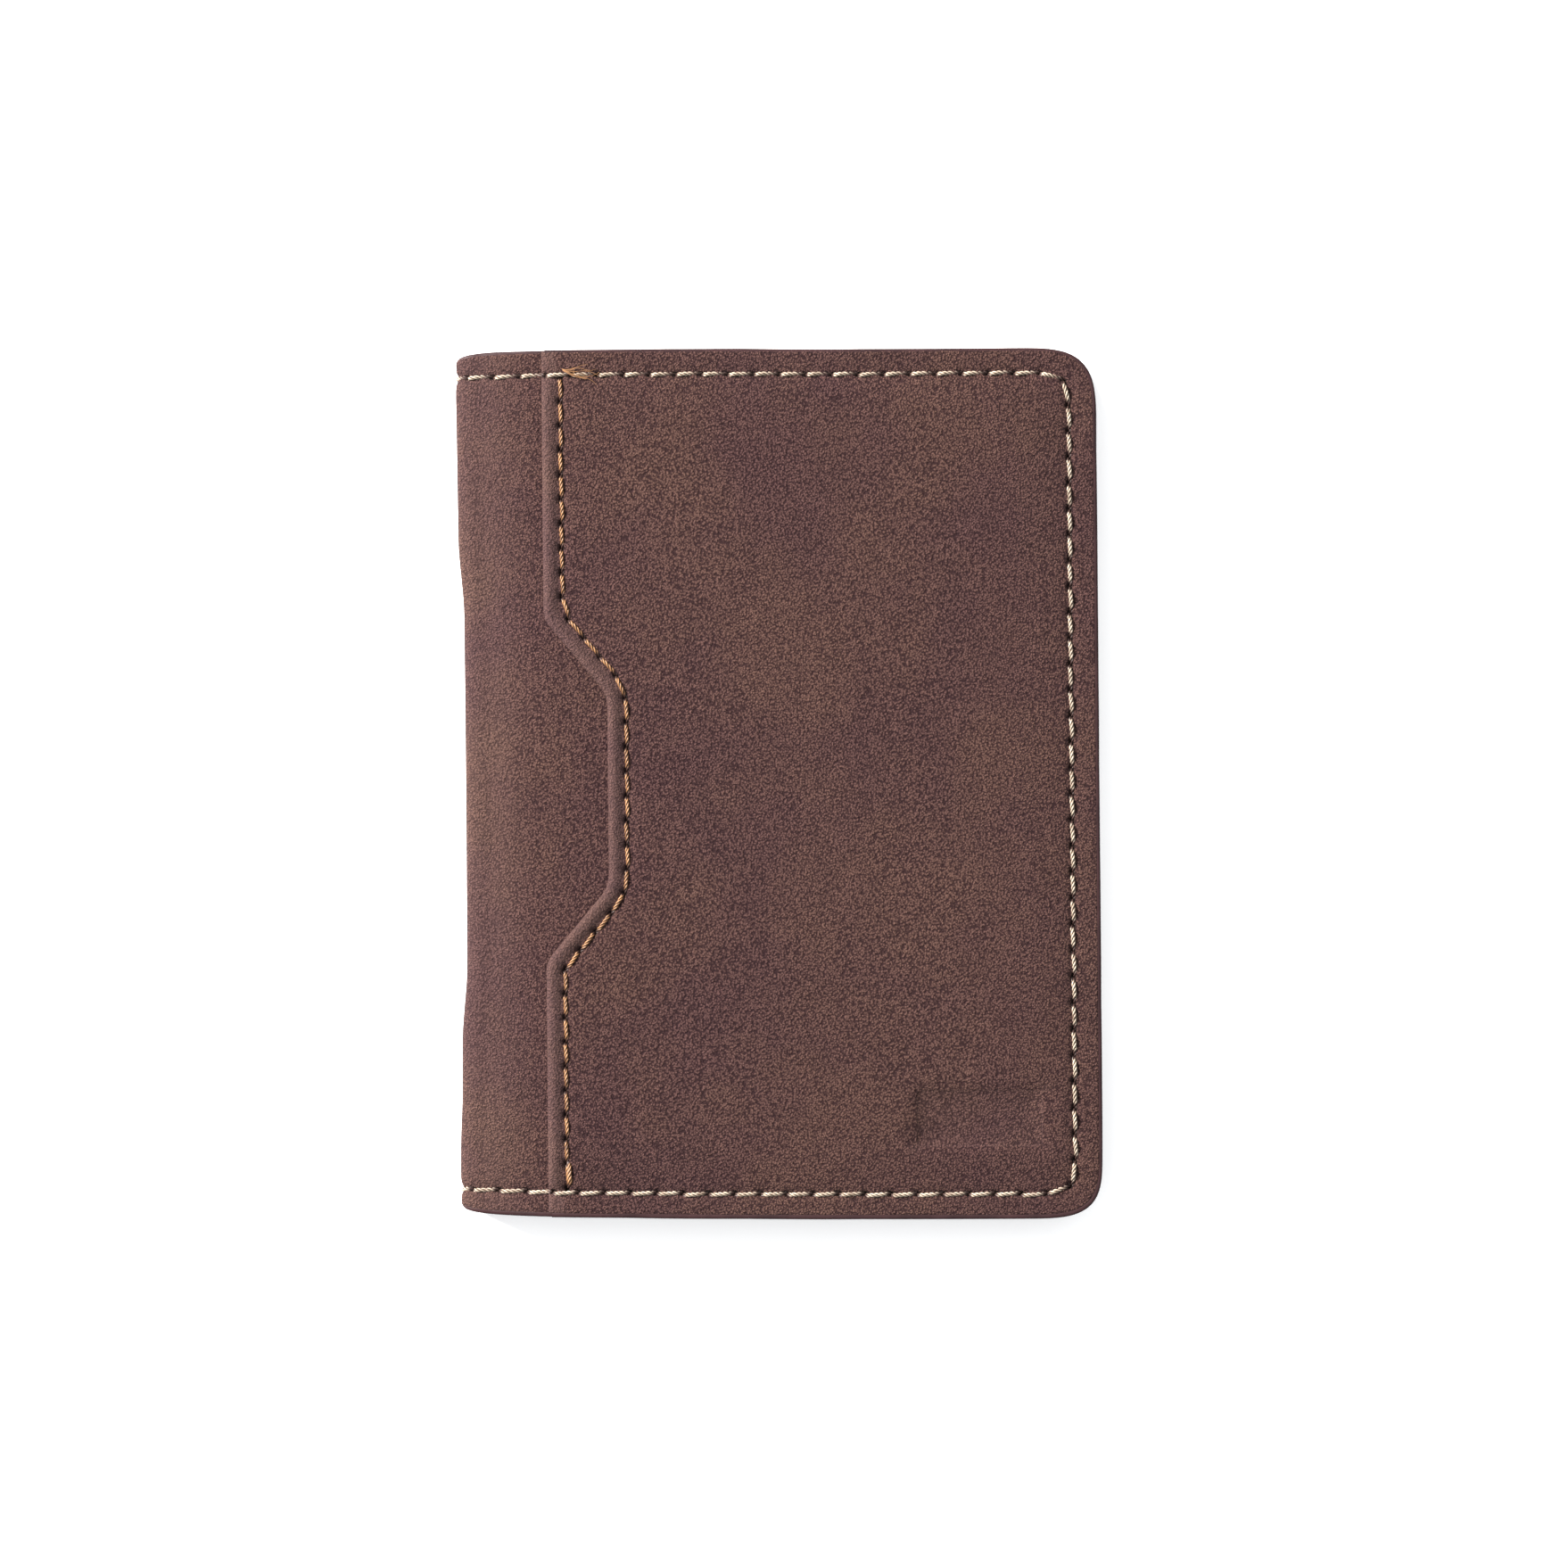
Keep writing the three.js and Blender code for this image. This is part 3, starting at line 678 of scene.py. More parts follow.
def make_sheet(
    name,
    outline,
    top,
    bottom,
    material,
    *,
    edge=None,
    holes=(),
    place=straight_up,
    roll=0.3,
    rows=(),
    grid=2.2,
    masks=None,
):
    """A sheet between two faces, top and bottom, which are functions of the flat cut.

    edge is the part of the outline that is rolled over, by the radius roll. rows are where detail is wanted.
    """
    cut, triangles = fill(outline, holes, rows, grid)
    if edge is None:
        edge = [closed_line(ring) for ring in (outline, *holes)]
    gap = np.min([distance_to(cut, line) for line in edge], axis=0)
    upper, lower = top(cut), bottom(cut)
    radius = np.minimum(roll(cut) if callable(roll) else roll, (upper - lower) * 0.495)
    drop = radius * (1 - np.sqrt(1 - (1 - np.minimum(gap / radius, 1)) ** 2))
    count = len(cut)
    points = np.vstack([place(cut, upper - drop), place(cut, lower + drop)])
    rim = rim_edges(triangles)
    walls = np.column_stack([rim[:, 0], rim[:, 0] + count, rim[:, 1] + count, rim[:, 1]])
    faces = triangles.tolist() + (triangles[:, ::-1] + count).tolist() + walls.tolist()
    values = {"rub_and_highlight": np.zeros(2 * count), "needle": np.zeros(2 * count)}
    values.update({label: np.tile(of_cut(cut), 2) for label, of_cut in (masks or {}).items()})
    return make_piece(name, points, faces, material, np.tile(cut, (2, 1)), values)


# %% [markdown]
# ## Seams
# A lockstitch is one thread that comes up through a hole, lies on the leather and goes down through the next.
# The machine leaves it a little aslant and it is plumpest where it comes up. The holes pull the leather down,
# so each sheet is shaped by the same seam that the thread follows.


# %% One seam: its holes and the dent it makes
SEAM_ROWS = (-1.3, -0.85, -0.5, -0.3, -0.14, 0.0, 0.14, 0.3, 0.5, 0.85, 1.3)


class Seam:
    """A line of stitches in the flat cut, with a hole at every pitch."""

    def __init__(self, line, pitch, dent=0.16, hole=0.55):
        self.line = line
        self.holes = spaced(line, pitch)
        self.dent, self.hole = dent, hole

    def furrow(self, cut):
        """How far the thread's pull lowers the leather, in millimetres."""
        return self.dent * np.exp(-((distance_to(cut, self.line) / 0.75) ** 2))

    def needle(self, cut):
        """1 at a needle hole and 0 away from it. A hole is pulled long by its thread. The leather's colour is
        darkened by it as painted shade in the hole.
        """
        nearest = np.full(len(cut), 1e9)
        ahead = np.roll(self.holes, -1, axis=0) - np.roll(self.holes, 1, axis=0)
        ahead[0], ahead[-1] = self.holes[1] - self.holes[0], self.holes[-1] - self.holes[-2]
        for hole, (dx, dy) in zip(self.holes, ahead / np.linalg.norm(ahead, axis=1)[:, None]):
            off = cut - hole
            along, across = off[:, 0] * dx + off[:, 1] * dy, off[:, 0] * dy - off[:, 1] * dx
            nearest = np.minimum(nearest, (along / 0.52) ** 2 + (across / 0.3) ** 2)
        return np.exp(-nearest)

    def dip(self, cut):
        """The furrow with its needle holes."""
        return self.furrow(cut) + self.hole * self.needle(cut)

    def rows(self):
        """Where a sheet needs small triangles to show this seam."""
        pitch = np.linalg.norm(self.holes[1] - self.holes[0])
        return (self.line, SEAM_ROWS, pitch / 11)


# %% Twisted thread along a seam
PLIES, RING, STEPS = 3, 8, 22
TWIST_PITCH = 1.8
RISE_AT = [0, 0.08, 0.15, 0.3, 0.5, 0.7, 0.85, 1]
TAILED = [-0.5, -0.1, 0.15, 0.18, -0.06, -0.17, -0.25, -0.5]  # plump where it comes up, then sinking
EVEN = [-0.5, -0.3, -0.08, 0.14, 0.18, 0.02, -0.24, -0.5]
SUNK = [-0.5, -0.25, -0.02, 0.1, 0.12, 0.02, -0.22, -0.5]


def make_stitches(
    name, seam, surface, material, width=0.54, lean=0.17, place=straight_up, up=1, even=EVEN
):
    """Stitches of three-ply thread that lie on a surface, from hole to hole."""
    rng = np.random.default_rng(sum(map(ord, name)))
    ply = width / 4.4
    t = np.linspace(0, 1, STEPS)
    points, cut_uv, depth, outer, faces = [], [], [], [], []
    turn = np.arange(RING) * 2 * math.pi / RING
    for start, end in zip(seam.holes[:-1], seam.holes[1:]):
        run = end - start
        length = np.linalg.norm(run)
        along = run / length
        left = np.array([-along[1], along[0]])
        shift = lean * rng.uniform(0.75, 1.2) * (2 * np.sqrt(t) - 1) + rng.normal(0, 0.035)
        centre = start + t[:, None] * run + shift[:, None] * left
        tailed = np.interp(t if along[0] > 0 else 1 - t, RISE_AT, TAILED)
        share = smooth(abs(along[0]) * 2 - 1) * (1 if along[0] > 0 else 0.6)
        rise = share * tailed + (1 - share) * np.interp(t, RISE_AT, even)
        rise = rise + 0.03 * rng.normal() * np.sin(t * math.pi)
        base = surface(centre) + up * rise
        phase = rng.uniform(0, 2 * math.pi)
        for k in range(PLIES):
            angle = phase + t * length / TWIST_PITCH * 2 * math.pi + k * 2 * math.pi / PLIES
            side, lift = 1.25 * ply * np.cos(angle), 1.25 * ply * np.sin(angle)
            first = sum(map(len, points))
            for j in range(STEPS):
                ring_side = side[j] + ply * np.cos(turn)
                ring_lift = lift[j] + ply * np.sin(turn)
                flat = centre[j] + ring_side[:, None] * left
                points.append(place(flat, base[j] + up * ring_lift))
                cut_uv.append(np.column_stack([np.full(RING, t[j] * length), turn * 0.5 + t[j] * length]))
                # depth: how far the thread has sunk below the leather, which the material darkens as painted
                # shade.
                depth.append(np.full(RING, np.clip((0.02 - rise[j]) / 0.3, 0, 1)))
                # outer: how far a point stands out from its ply's axis, which the material uses for painted
                # highlight on the crests.
                outer.append(np.clip((np.hypot(ring_side, ring_lift) / ply - 0.9) / 1.2, 0, 1))
            faces += tube_faces(first, STEPS, RING)
    masks = {"depth": np.concatenate(depth), "outer": np.concatenate(outer)}
    return make_piece(name, np.vstack(points), faces, material, np.vstack(cut_uv), masks)


# %% [markdown]
# ## The outer hide
# On the real wallet the back, the spine and the front are one piece of nubuck. Its flat cut has *s* running
# across, from the back cover's fore edge through 0 at the middle of the spine to the front cover's fore edge,
# and *y* running up. The placing wraps it round the fold. It is made as two halves that meet at the middle of
# the spine, and cloth, paint and thread that go round the spine use the same placing.

# %% Wrap a flat cut round the spine
BEND = FOLD_RADIUS - HIDE / 2  # radius of the hide's middle
BACK_MIDDLE = HIDE / 2
FRONT_MIDDLE = high("front_cover_hide")[2] - HIDE / 2
MIDDLE_Z = (BACK_MIDDLE + FRONT_MIDDLE) / 2
RISE = (FRONT_MIDDLE - BACK_MIDDLE) / 2 - BEND  # straight run each side of the spine's middle
ARC = BEND * math.pi / 2
FLAT_START = SPINE_X + FOLD_RADIUS


def cut_x(x):
    """Where a place on a cover lies on the flat cut, counted from the middle of the spine."""
    return RISE + ARC + (x - FLAT_START)


def plan_x(s):
    """Where a place on the flat cut lies when the wallet is shut, for the flat part of a cover."""
    return np.abs(s) - RISE - ARC + FLAT_START


def waist(y):
    """How far the spine draws in at each height: along its middle, at the two seams and at its ends."""
    middle = 0.6 * smooth((32 - np.abs(y + NOTCH_DROP)) / 10) + 0.3 * (1 - (y / TOP_Y) ** 2) - 0.35
    reach = TOP_Y - np.abs(y)
    seam = 0.16 * np.exp(-(((reach - SEAM_MARGIN) / 0.5) ** 2))
    foot = 0.22 * smooth((-y - 38) / 9)
    return middle + seam - foot + 0.4 * np.clip(1 - reach / 0.9, 0, 1) ** 2


def narrow(s, y):
    """How far the ends of the cover draw in towards the spine, most of it outside the seam."""
    past_seam = smooth((np.abs(y) - TOP_Y) / SEAM_MARGIN + 1.05)
    whole = 0.1 * np.abs(y) / TOP_Y * smooth(1 - (np.abs(s) - RISE - ARC + 1) / 9)
    return np.sign(y) * (whole + 0.7 * past_seam * np.exp(-((s / 3.6) ** 2)))


def sag(x):
    """How far the front cover comes down towards the back one, at its free edge and beside the spine."""
    return 0.5 * smooth((x + 25) / 70) + 1.3 * np.clip(1 - (x - SPINE_X - FOLD_RADIUS) / 12, 0, 1) ** 2


def front_up(cut, height):
    """The placing of the sheets that ride on the front cover."""
    x, y = cut.T
    return np.column_stack([x, out_of_square(x, y), height - sag(x)])


def round_spine(cut, off):
    """The placing of the outer hide. off is how far a point lies outside the hide's middle."""
    s, y = cut[:, 0], cut[:, 1]
    side = np.where(s < 0, -1.0, 1.0)
    reach = np.abs(s)
    angle = np.clip((reach - RISE) / BEND, 0, math.pi / 2)
    flat = np.maximum(reach - RISE - ARC, 0)
    x = FLAT_START + flat - np.cos(angle) * (BEND + off) + smooth(1 - flat / 5) * waist(y)
    z = np.minimum(reach, RISE) + np.sin(angle) * (BEND + off)
    dropped = sag(plan_x(s)) * np.sin(angle)
    y = out_of_square(x, y) - narrow(s, y)
    return np.column_stack([x, y, MIDDLE_Z + side * z - np.where(s > 0, dropped, 0)])


# %% Outlines and seams of the two halves
FORE_S = cut_x(FORE_X)
CORNER_POWER = 0.54  # 1 is a quarter circle, and less is squarer
TOP_CORNER = np.array([2.1, 2.1])  # how far a corner reaches across and up, in radii
BOTTOM_CORNER = np.array([2.0, 1.8])


def three_sides(start, fore, radius, inset=0.0, top=TOP_Y):
    """A line along the top, down the fore edge and back along the bottom. inset may differ by side."""
    sides = inset if isinstance(inset, dict) else {"top": inset, "fore": inset, "bottom": inset}
    right, above, below = fore - sides["fore"], top - sides["top"], sides["bottom"] - TOP_Y
    if radius < CORNER:
        return rounded([(start, above), (right, above, radius), (right, below, radius), (start, below)])
    turn = np.linspace(0, math.pi / 2, 30)[:, None]
    wide, tall = np.sin(turn) ** CORNER_POWER, np.cos(turn) ** CORNER_POWER
    across, up = TOP_CORNER * radius - (sides["fore"], sides["top"])
    upper = np.hstack([right - across + across * wide, above - up + up * tall])
    across, up = BOTTOM_CORNER * radius - (sides["fore"], sides["bottom"])
    lower = np.hstack([right - across + across * tall, below + up - up * wide])
    return np.vstack([[start, above], upper, lower, [start, below]])


def ring_of(path):
    """A line as a closed outline that runs anticlockwise."""
    (x, y), (on_x, on_y) = path.T, np.roll(path, -1, axis=0).T
    return path if (x * on_y - y * on_x).sum() > 0 else path[::-1]


half_edge = three_sides(0, FORE_S, CORNER, PAINT)
half_paint = three_sides(0, FORE_S, CORNER)
half_seam = three_sides(0, FORE_S, SEAM_CORNER, SEAM_INSET)
PITCH = 3.25
back_seam = Seam(half_seam * [-1, 1], PITCH)
front_seam = Seam(half_seam, PITCH)
HALVES = (("back", -1, back_seam), ("front", 1, front_seam))
print(f"flat hide: {2 * FORE_S:.1f} x {2 * TOP_Y:.1f} mm, {len(front_seam.holes)} holes in the front seam")


# %% How the covers are pinched at their sewn edges
def pinch(reach):
    """1 at a sewn edge, where the stack is pressed together, and 0 inside the cover."""
    return 1 - smooth((reach - 2.9) / 2.4)


def edge_reach(x, y):
    """How far a place on a cover lies from the nearest of its three sewn edges."""
    return np.minimum(FORE_X - x, TOP_Y - np.abs(y))


def ripple(x, y):
    """The slow unevenness of a soft cover, in millimetres."""
    waves = np.sin(x * 0.19 + 1.3 * np.sin(y * 0.083)) * np.cos(y * 0.127 + 0.4)
    return 0.05 * waves + 0.03 * np.sin(x * 0.41 + y * 0.29 + 1.7)


def over_board(x, y):
    """1 over the board inside a cover and 0 past its edges."""
    return smooth((x - low("back_cover_board")[0] + 1.6) / 1.6) * smooth((edge_reach(x, y) - 4.7) / 1.8)


def hide_outside(word, seam):
    """The outer face of the back or front half, as a height off the hide's middle."""

    def face(cut):
        x, y = plan_x(cut[:, 0]), cut[:, 1]
        pressed = HIDE / 2 - 0.1 * pinch(edge_reach(x, y))
        if word == "front":
            return pressed - smooth((POCKET_X + 3 - x) / 4) * seam.dip(cut)
        return pressed - 0.06 * pinch(edge_reach(x, y)) - seam.dip(cut)

    return face


def hide_inside(cut):
    """The flesh side, as a height off the hide's middle."""
    return np.full(len(cut), -HIDE / 2)


def bend_with(piece, word):
    """Bakes a piece that goes round the spine into its place, the same way for the back and the front."""
    if word == "front":
        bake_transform(piece)
    else:
        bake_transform(piece)


def spine_rows(side):
    """Rows of small triangles that run up the spine, so that it bends smoothly."""
    places = np.arange(0.45, 9, 0.45) * side
    return [(np.array([[s, 1 - TOP_Y], [s, TOP_Y - 1]]), (0.0,), 1.1) for s in places]


for word, side, seam in HALVES:
    edge = half_edge * [side, 1]
    hide = make_sheet(
        f"{word}_hide",
        ring_of(edge),
        hide_outside(word, seam),
        hide_inside,
        NUBUCK,
        edge=[edge],
        place=round_spine,
        rows=[seam.rows(), *spine_rows(side)],
        # Beside the spine the nap is smoother and its colour is lighter, as painted highlight where the strip
        # turns towards the key light.
        masks={"needle": seam.needle, "rub_and_highlight": lambda cut: 0.5 * smooth((12 - np.abs(cut[:, 0])) / 7)},
    )
    bend_with(hide, word)
    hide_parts(f"{word}_cover_hide", "spine_hide")

# %% [markdown]
# ## Lining, boards and the painted edge of the covers
# Twill is glued to the flesh side of the hide, over a thin board in each cover. The cut edges are skived,
# burnished and painted, which leaves a soft bead of paint a little proud of the leather. A bead is a boxy
# section carried along the outline.


# %% Line the two halves
GLUE_GAP, BOARD, LINING = 0.03, 0.3, 0.15


def lining_outside(cut):
    """The glued face of the lining: it lies on the hide, and on the board where there is one."""
    return -HIDE / 2 - GLUE_GAP - (BOARD + GLUE_GAP) * over_board(plan_x(cut[:, 0]), cut[:, 1])


for word, side, seam in HALVES:
    edge = three_sides(0, FORE_S, CORNER, 0.6) * [side, 1]
    lining = make_sheet(
        f"{word}_lining",
        ring_of(edge),
        lining_outside,
        lambda cut: lining_outside(cut) - LINING,
        LINING_CLOTH,
        edge=[edge],
        place=round_spine,
        rows=spine_rows(side),
        roll=0.05,
    )
    bend_with(lining, word)
    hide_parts(f"{word}_cover_lining", "spine_lining")


# %% Cut the boards
def level(height):
    """A face that lies level at a height."""
    return lambda cut: np.full(len(cut), height)


for cover, place in (("back_cover", straight_up), ("front_cover", front_up)):
    node = f"{cover}_board"
    board = make_sheet(
        f"{cover}_stiffener",
        rectangle(low(node), high(node), 1),
        level(high(node)[2]),
        level(low(node)[2]),
        GREY_BOARD,
        place=place,
        grid=5.0,
        roll=0.05,
    )
    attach(board, cover)
    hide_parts(node)


# %% Paint an edge
def make_bead(name, path, upper, lower, place, inward=1, reach=0.4):
    """A bead of paint along a line. upper and lower are the faces of the stack that it covers."""
    path = spaced(path, 0.55)
    rng = np.random.default_rng(sum(map(ord, name)))
    centre = sideways(path, -inward * reach)
    across = (path - centre) / np.linalg.norm(path - centre, axis=1)[:, None]
    top, bottom = upper(centre), lower(centre)
    sides = 14
    points = []
    marks = np.arange(0, len(path) + 9, 9)
    wobble = np.interp(np.arange(len(path)), marks, rng.normal(0, 0.035, len(marks)))
    for k in range(sides):
        angle = 2 * math.pi * k / sides
        out = math.copysign(abs(math.cos(angle)) ** 0.7, math.cos(angle))
        rise = math.copysign(abs(math.sin(angle)) ** 0.6, math.sin(angle))
        flat = centre + across * (reach * out * (1 + wobble * (out > 0)))[:, None]
        points.append(place(flat, (top + bottom) / 2 + rise * (top - bottom) / 2))
    points = np.stack(points, axis=1).reshape(-1, 3)
    return make_piece(name, points, tube_faces(0, len(path), sides), EDGE_PAINT)


for word, side, seam in HALVES:
    outside = hide_outside(word, Seam(seam.line, PITCH, dent=0, hole=0))
    paint = make_bead(
        f"{word}_edge_paint",
        half_paint * [side, 1],
        lambda cut: outside(cut) - 0.03,
        lambda cut: np.full(len(cut), -HIDE / 2 - 0.2),
        round_spine,
        inward=side,
    )
    bend_with(paint, word)

# %% [markdown]
# ## The front pocket
# This is the face of the wallet: a second layer of nubuck whose mouth is cut to a shallow notch, turned
# under and topstitched in tan. The turned edge is twice as thick, so it rolls over softly and stands a little
# proud. The sewn edges are pinched and the middle stays full, which is what makes flat leather look filled.


# %% The mouth of the pocket
def mouth_line(offset=0.0, top=TOP_Y, bottom=-TOP_Y):
    """The pocket's mouth, moved into the pocket by an offset, from the top edge down."""
    slope = math.atan2(NOTCH_DEPTH, (NOTCH_LENGTH - NOTCH_FLOOR) / 2)
    shift = offset * math.tan(slope / 2)
    x = POCKET_X + offset
    outer = max(NOTCH_OUTER - offset, 0.2)
    half_length, half_floor = NOTCH_LENGTH / 2 + shift, NOTCH_FLOOR / 2 + shift
    return rounded(
        [
            (x, top),
            (x, half_length - NOTCH_DROP, outer),
            (x + NOTCH_DEPTH, half_floor - NOTCH_DROP, NOTCH_INNER + offset),
            (x + NOTCH_DEPTH, -half_floor - NOTCH_DROP, NOTCH_INNER + offset),
            (x, -half_length - NOTCH_DROP, outer),
            (x, bottom),
        ]
    )


mouth = mouth_line()
mouth_seam = Seam(mouth_line(MOUTH_SEAM, TOP_Y - 3.45, -TOP_Y + 3.7), 3.07, dent=0.13)


class PlanSeam(Seam):
    """The front seam seen on the plan of the cover, so that pocket and hide share one row of holes."""

    def __init__(self, seam):
        line = spaced(seam.line, 0.5)
        self.line = np.column_stack([plan_x(line[:, 0]), line[:, 1]])[line[:, 0] > cut_x(POCKET_X - 1)]
        self.holes = np.column_stack([plan_x(seam.holes[:, 0]), seam.holes[:, 1]])
        self.holes = self.holes[self.holes[:, 0] > POCKET_X - 1]
        self.dent, self.hole = seam.dent, seam.hole


pocket_seam = PlanSeam(front_seam)

# %% Shape its two faces
POCKET_LOW = low("front_pocket_hide")[2]
HEM_CREST = 0.34


def full(cut):
    """How far the panel's top is drawn down towards its sewn edges."""
    return 0.3 * (1 - smooth((edge_reach(*cut.T) - 2.4) / 6.0))


def stamp_recess(cut):
    """1 inside the pressed mark and 0 outside, with soft sides."""
    inner = np.minimum(cut - STAMP_LOW, STAMP_HIGH - cut).min(1)
    return smooth(inner / 0.28 + 0.5)


def pocket_top(cut):
    """The upper face: puffed, hemmed, stitched and stamped."""
    deep = distance_to(cut, mouth)
    hem = HEM_CREST * (1 - smooth((deep - 0.8) / 1.3)) * (1 - 0.75 * pinch(edge_reach(*cut.T)))
    puffed = POCKET_Z - full(cut) + hem + ripple(*cut.T)
    return puffed - mouth_seam.dip(cut) - pocket_seam.dip(cut) - STAMP_DEPTH * stamp_recess(cut)


def pocket_low(cut):
    """The lower face, which rests on the cover along the hem."""
    deep = distance_to(cut, mouth)
    pressed = POCKET_LOW - 0.22 * pinch(edge_reach(*cut.T)) - 0.17 * (1 - smooth((deep - 1.5) / 1.5))
    return np.maximum(pressed, FRONT_MIDDLE + HIDE / 2 + 0.02 - 0.1 * pinch(edge_reach(*cut.T)))


def pocket_rub(cut):
    """The hem is rubbed smooth, and so are the pressed lines of the mark."""
    hem = 1 - smooth((distance_to(cut, mouth) - 1.7) / 0.5)
    recess = stamp_recess(cut)
    return np.clip(0.75 * hem + 1.2 * recess * (1 - recess) + 0.15 * recess, 0, 1)


# %% Cut and sew the pocket
outer_edge = three_sides(POCKET_X, FORE_X, CORNER, PAINT)
mouth_cut = mouth_line(0, TOP_Y - PAINT["top"], -TOP_Y + PAINT["bottom"])
pocket_ring = ring_of(np.vstack([outer_edge[1:-1], mouth_cut[::-1]]))
stamp_line = closed_line(rectangle(STAMP_LOW, STAMP_HIGH, 0.6))
hem_rows = (mouth, [-offset for offset in (1.0, 1.15, 1.3, 1.45, 1.6, 1.8, 2.0)], 0.6)
pocket = make_sheet(
    "front_pocket",
    pocket_ring,
    pocket_top,
    pocket_low,
    NUBUCK,
    place=front_up,
    rows=[pocket_seam.rows(), mouth_seam.rows(), hem_rows, (stamp_line, (-0.2, 0.0, 0.2), 0.5)],
    roll=lambda cut: 0.28 + 0.45 * (1 - smooth((distance_to(cut, mouth) - 1.0) / 0.5)),
    masks={
        "needle": lambda cut: np.maximum(pocket_seam.needle(cut), mouth_seam.needle(cut)),
        "rub_and_highlight": pocket_rub,
    },
)
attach(pocket, "front_cover")
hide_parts("front_pocket_hide")
pocket_paint = make_bead(
    "pocket_edge_paint",
    three_sides(POCKET_X + 0.4, FORE_X, CORNER),
    lambda cut: POCKET_Z - full(cut) + ripple(*cut.T) - 0.04,
    lambda cut: pocket_low(cut) + 0.02,
    front_up,
)
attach(pocket_paint, "front_cover")

# %% Line the pocket
sewn_sides = three_sides(POCKET_X + 5, FORE_X, CORNER, SEAM_MARGIN)[1:-1]
under_hem = mouth_line(HEM_WIDTH, TOP_Y - SEAM_MARGIN, -TOP_Y + SEAM_MARGIN)[::-1]
pocket_lining = make_sheet(
    "front_pocket_cloth",
    ring_of(np.vstack([sewn_sides, under_hem])),
    lambda cut: pocket_low(cut) - 0.015,
    lambda cut: pocket_low(cut) - 0.085,
    LINING_CLOTH,
    place=front_up,
    roll=0.03,
    grid=3.0,
)
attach(pocket_lining, "front_cover")
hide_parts("front_pocket_lining")

# %% [markdown]
# ## Thread on the outside
# One seam in cream runs round each half of the hide and over the spine, where the two meet. The pocket's
# mouth has its own seam in tan. It starts at the top with a few frayed ends and stops at the bottom in two
# short stitches that are sewn back over the last one.


# %% Sew the cream seams
def back_surface(cut):
    """What the back seam lies on."""
    return HIDE / 2 - 0.16 * pinch(edge_reach(plan_x(cut[:, 0]), cut[:, 1])) - back_seam.furrow(cut)


def front_surface(cut):
    """What the front seam lies on: the pocket where there is one, and the cover's hide past its mouth."""
    plan = np.column_stack([plan_x(cut[:, 0]), cut[:, 1]])
    hem = HEM_CREST * 0.25 * (1 - smooth((plan[:, 0] - POCKET_X - 0.8) / 1.3))
    on_pocket = POCKET_Z - full(plan) + hem + ripple(*plan.T) - FRONT_MIDDLE
    on_hide = HIDE / 2 - 0.1 * pinch(edge_reach(*plan.T))
    share = smooth((plan[:, 0] - POCKET_X + 0.5) / 0.8)
    return on_hide + share * (on_pocket - on_hide) - front_seam.furrow(cut)


back_thread = make_stitches(
    "back_cover_seam", back_seam, back_surface, CREAM_THREAD, place=round_spine, lean=-0.16
)
bend_with(back_thread, "back")
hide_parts("back_seam_thread", "spine_top_thread", "spine_bottom_thread")
front_thread = make_stitches("front_cover_seam", front_seam, front_surface, CREAM_THREAD, place=round_spine)
bend_with(front_thread, "front")
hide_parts("front_seam_thread", "spine_top_thread", "spine_bottom_thread")


# %% Sew the tan seam
def mouth_surface(cut):
    """What the tan seam lies on."""
    return POCKET_Z - full(cut) + ripple(*cut.T) - mouth_seam.furrow(cut)


tan_thread = make_stitches(
    "pocket_mouth_seam", mouth_seam, mouth_surface, TAN_THREAD, 0.48, 0.12, front_up, even=SUNK
)
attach(tan_thread, "front_cover")
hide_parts("mouth_seam_thread")


# %% Fray its ends
def make_fibres(name, start, count, reach, material, seed):
    """Loose filaments that trail from a cut thread over the pocket."""
    rng = np.random.default_rng(seed)
    points, depth, faces = [], [], []
    ring, steps, radius = 5, 14, 0.035
    turn = np.arange(ring) * 2 * math.pi / ring
    for _ in range(count):
        length = reach * rng.uniform(0.35, 1.0)
        heading = rng.normal(-0.16, 0.09)
        curl = rng.normal(0, 0.3)
        t = np.linspace(0, 1, steps)
        direction = heading + curl * t + 0.3 * np.sin(t * rng.uniform(3, 9) + rng.uniform(0, 6))
        step = length / steps
        x = start[0] + rng.normal(0, 0.12) + np.cumsum(np.cos(direction)) * step
        y = start[1] + rng.normal(0, 0.12) + np.cumsum(np.sin(direction)) * step
        y = np.minimum(y, TOP_Y - 1.2)
        line = np.column_stack([x, y])
        rise = 0.1 + rng.uniform(0.05, 0.3) * np.sin(t * math.pi * rng.uniform(0.6, 1.0))
        height = mouth_surface(line) + mouth_seam.furrow(line) + rise
        normal = np.column_stack([-np.sin(direction), np.cos(direction)])
        first = sum(map(len, points))
        for j in range(steps):
            thin = radius * (1 - 0.5 * t[j])
            flat = line[j] + thin * np.cos(turn)[:, None] * normal[j]
            points.append(front_up(flat, height[j] + thin * np.sin(turn)))
            # The loose fibres get a quarter of that depth, so they take a little of the painted shade.
            depth.append(np.full(ring, 0.25))
        faces += tube_faces(first, steps, ring)
    points = np.vstack(points)
    masks = {"depth": np.concatenate(depth), "outer": np.ones(len(points))}
    return make_piece(name, points, faces, material, points[:, :2], masks)


